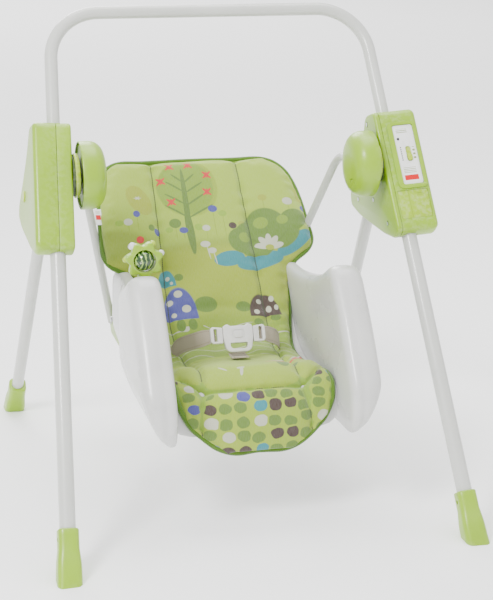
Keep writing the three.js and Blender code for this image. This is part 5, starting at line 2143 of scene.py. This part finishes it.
@dataclass(frozen=True)
class Printed:
    """White film or ribbon with printed blocks, read from the piece's own cloth map in metres."""

    name: str
    blocks: tuple
    ground: Rgb = (0.80, 0.80, 0.79)
    roughness: float = 0.35

    def build(self) -> bpy.types.Material:
        """Returns the material."""
        material, graph, shader = new_material(self.name)
        place = graph.add("UVMap", uv_map="cloth").outputs[0]
        parts = graph.split(place)
        fine = graph.noise(place, 900.0, 3.0)
        colour: object = graph.mix(fine, tuple(c * 0.96 for c in self.ground), self.ground)
        for ink, across, along, pitch, solid in self.blocks:
            inside: object = 1.0
            for socket, (low, high) in ((parts.outputs[0], across), (parts.outputs[1], along)):
                band = graph.math("MULTIPLY", graph.math("GREATER_THAN", socket, low * METRE),
                                  graph.math("LESS_THAN", socket, high * METRE))
                inside = graph.math("MULTIPLY", band, inside)
            if pitch:
                start = graph.math("SUBTRACT", parts.outputs[1], along[0] * METRE)
                inside = graph.math("MULTIPLY", inside, graph.dashes(start, pitch * METRE, solid))
            colour = graph.mix(inside, colour, ink)
        graph.give(shader, base_color=colour, normal=graph.bump(fine, 0.00003), roughness=self.roughness)
        return material


BLACK_INK = linear(28, 28, 26)
RED_INK = linear(206, 52, 42)
GREY_INK = linear(150, 160, 120)
LABEL_PRINT = Printed("label", (
    (RED_INK, (4.4, 25.8), (532.0, 540.0), 0.0, 1.0),
    (BLACK_INK, (6.2, 7.9), (563.0, 586.0), 3.3, 0.62),
    (GREY_INK, (5.0, 24.0), (543.5, 552.0), 2.6, 0.34),
    (GREY_INK, (24.6, 28.4), (565.0, 584.0), 6.0, 0.5),
    (GREY_INK, (5.0, 22.0), (607.0, 613.0), 2.8, 0.4),
))
TAG_PRINT = Printed("tag", (
    (RED_INK, (2.0, 9.8), (9.0, 17.5), 0.0, 1.0),
    (GREY_INK, (2.4, 9.2), (19.5, 25.5), 1.5, 0.4),
), roughness=0.7)
TOY_BALL = Swirled()


@dataclass
class Toy:
    """Lime star ring on the left wing with a turning glassy ball."""

    shop: Workshop
    middle: tuple = (-139.0, -118.0, 373.0)
    radius: float = 24.5
    ball: float = 15.0

    def build(self) -> None:
        """Makes the ring, its knobs and the ball."""
        points, steps = [], 120
        for i in range(steps):
            angle = 2 * math.pi * i / steps
            reach = self.radius + 3.2 * math.cos(7 * (angle - 0.3))
            points.append((reach * math.cos(angle), reach * math.sin(angle)))
        ring = Bench.prism("toy_star", points, -7, 7)
        Bench.soften(ring, lambda p: abs(p[0].x - p[1].x) < 0.01, 2.6, 4)
        Bench.carve(ring, Bench.rod("hole", Vector((-20, 0, 0)), Vector((20, 0, 0)), self.ball + 1.2, 56))
        ring.data.transform(FACE_ON)
        stem = Bench.block("stem", (-9, -6, -self.radius - 2.6), (9, 6, -self.radius + 3), 2.0)
        pin = Bench.rod("pin", Vector((-self.radius + 4, 0, 0)), Vector((self.radius - 4, 0, 0)), 1.5, 20)
        Bench.joined(ring, stem, pin)
        ring.data.transform(Matrix.Translation(self.middle))
        self.shop.settle(ring, LIME, "seat", "lime_plastic", "toy_ring", sharp=35)
        for index, (angle, size, finish) in enumerate((
                (128, 5.6, CLIP), (62, 4.6, DEEP_LIME), (20, 4.6, CLIP), (176, 4.2, DEEP_LIME))):
            spot = Vector((math.cos(math.radians(angle)), 0,
                           math.sin(math.radians(angle)))) * (self.radius + 2)
            Bench.clear()
            bpy.ops.mesh.primitive_uv_sphere_add(segments=28, ring_count=16, radius=size,
                                                 location=spot + Vector(self.middle))
            knob = Bench.named(f"toy_knob_{index}")
            slot = "white_clip" if finish is CLIP else "deep_lime_plastic"
            self.shop.settle(knob, finish, "seat", slot, sharp=60)
        Bench.clear()
        bpy.ops.mesh.primitive_uv_sphere_add(segments=48, ring_count=28, radius=self.ball,
                                             location=self.middle)
        ball = Bench.named("swirl_ball")
        self.shop.settle(ball, TOY_BALL, "ball", "toy_ball", "toy_ball", sharp=60)


@dataclass
class CoverTag:
    """Small folded tag sewn into the left edge of the cover."""

    shop: Workshop
    width: float = 11.5
    length: float = 28.0

    def build(self) -> None:
        """Makes the tag."""
        point, out = SPINE.at(0.155 * SPINE.length)
        up = Vector((0, out.z, -out.y))
        Bench.clear()
        bpy.ops.mesh.primitive_grid_add(x_subdivisions=8, y_subdivisions=16, size=2)
        tag = Bench.named("sewn_tag")
        places = []
        for vertex in tag.data.vertices:
            a, b = (vertex.co.x + 1) / 2, (vertex.co.y + 1) / 2
            places.append((a * self.width, b * self.length))
            curl = 1.2 * (1 - a) ** 2
            vertex.co = Vector((-158.0 - self.width * (1 - a), 0,
                                0)) + point - out * (8 - curl) + up * (b - 0.5) * self.length
        map_cloth(tag, np.array(places))
        Bench.modify(tag, "SOLIDIFY", thickness=0.35, offset=0.0)
        self.shop.settle(tag, TAG_PRINT, "seat", "label", "cover_tag", sharp=60)


# ---- studio -----------------------------------------------------------------------------------------


@dataclass
class Studio:
    """Pale floor, soft lights and the camera."""

    eye: tuple = (-0.5235, -2.23778, 0.91947)
    right: tuple = (0.96997163, -0.24315847, 0.0053849)
    up: tuple = (0.06079696, 0.26384067, 0.96264834)
    ahead: tuple = (0.23549685, 0.9334142, -0.27070126)
    lens: float = 93.81
    lights: tuple = (
        ("key", (-1.9, -1.7, 2.5), 1.0, 120.0),
        ("fill", (2.6, -1.2, 1.4), 2.2, 8.0),
        ("top", (0.3, 0.5, 2.8), 2.0, 60.0),
        ("back", (-0.4, 9.0, 6.0), 6.0, 900.0),
    )

    def build(self) -> None:
        """Sets up the studio."""
        Bench.clear()
        bpy.ops.mesh.primitive_plane_add(size=40)
        floor = Bench.named("studio_floor")
        material, graph, shader = new_material("studio_floor")
        tone = graph.noise(graph.add("TexCoord").outputs["Object"], 1.2, 2.0)
        graph.give(shader, base_color=graph.mix(tone, (0.95, 0.95, 0.95), (0.97, 0.97, 0.97)),
                   roughness=0.9)
        shader.inputs["Specular IOR Level"].default_value = 0.1
        floor.data.materials.append(material)
        for name, spot, size, power in self.lights:
            Bench.clear()
            bpy.ops.object.light_add(type="AREA", location=spot)
            lamp = bpy.context.object
            lamp.name = f"{name}_light"
            lamp.data.shape, lamp.data.size, lamp.data.energy = "DISK", size, power
            lamp.rotation_euler = (Vector((0, 0, 0.35)) - Vector(spot)).to_track_quat("-Z", "Y").to_euler()
        world = bpy.data.worlds.new("studio_world")
        world.use_nodes = True
        backdrop = next(n for n in world.node_tree.nodes if n.type == "BACKGROUND")
        backdrop.inputs["Color"].default_value = (1.0, 1.0, 1.0, 1.0)
        backdrop.inputs["Strength"].default_value = 1.45
        bpy.context.scene.world = world
        self.camera()

    def camera(self) -> None:
        """Places the camera."""
        Bench.clear()
        bpy.ops.object.camera_add(location=self.eye)
        camera = bpy.context.object
        camera.name = "studio_camera"
        turn = Matrix((self.right, self.up, tuple(-a for a in self.ahead))).transposed()
        camera.rotation_euler = turn.to_euler()
        camera.data.lens, camera.data.sensor_width = self.lens, 36.0
        camera.data.clip_start, camera.data.clip_end = 0.05, 60.0
        bpy.context.scene.camera = camera


def main() -> None:
    """Builds the swing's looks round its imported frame."""
    logging.basicConfig(level=logging.INFO, format="%(name)s %(message)s")
    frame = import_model()
    shop = Workshop(frame)
    FrameTubes(shop).build()
    FootCaps(shop).build()
    Housing(shop, "left", LEFT, 22, 33, 0, 7, "left_housing").build()
    Housing(shop, "right", RIGHT, 23, 42, -15, 8, "motor_housing").build()
    ControlPanel(shop).build()
    Hubs(shop).build()
    HiddenWorks(shop).build()
    SeatShell(shop).build()
    SeatCover(shop).build()
    Harness(shop).build()
    Toy(shop).build()
    CoverTag(shop).build()
    Studio().build()


if __name__ == "__main__":
    main()
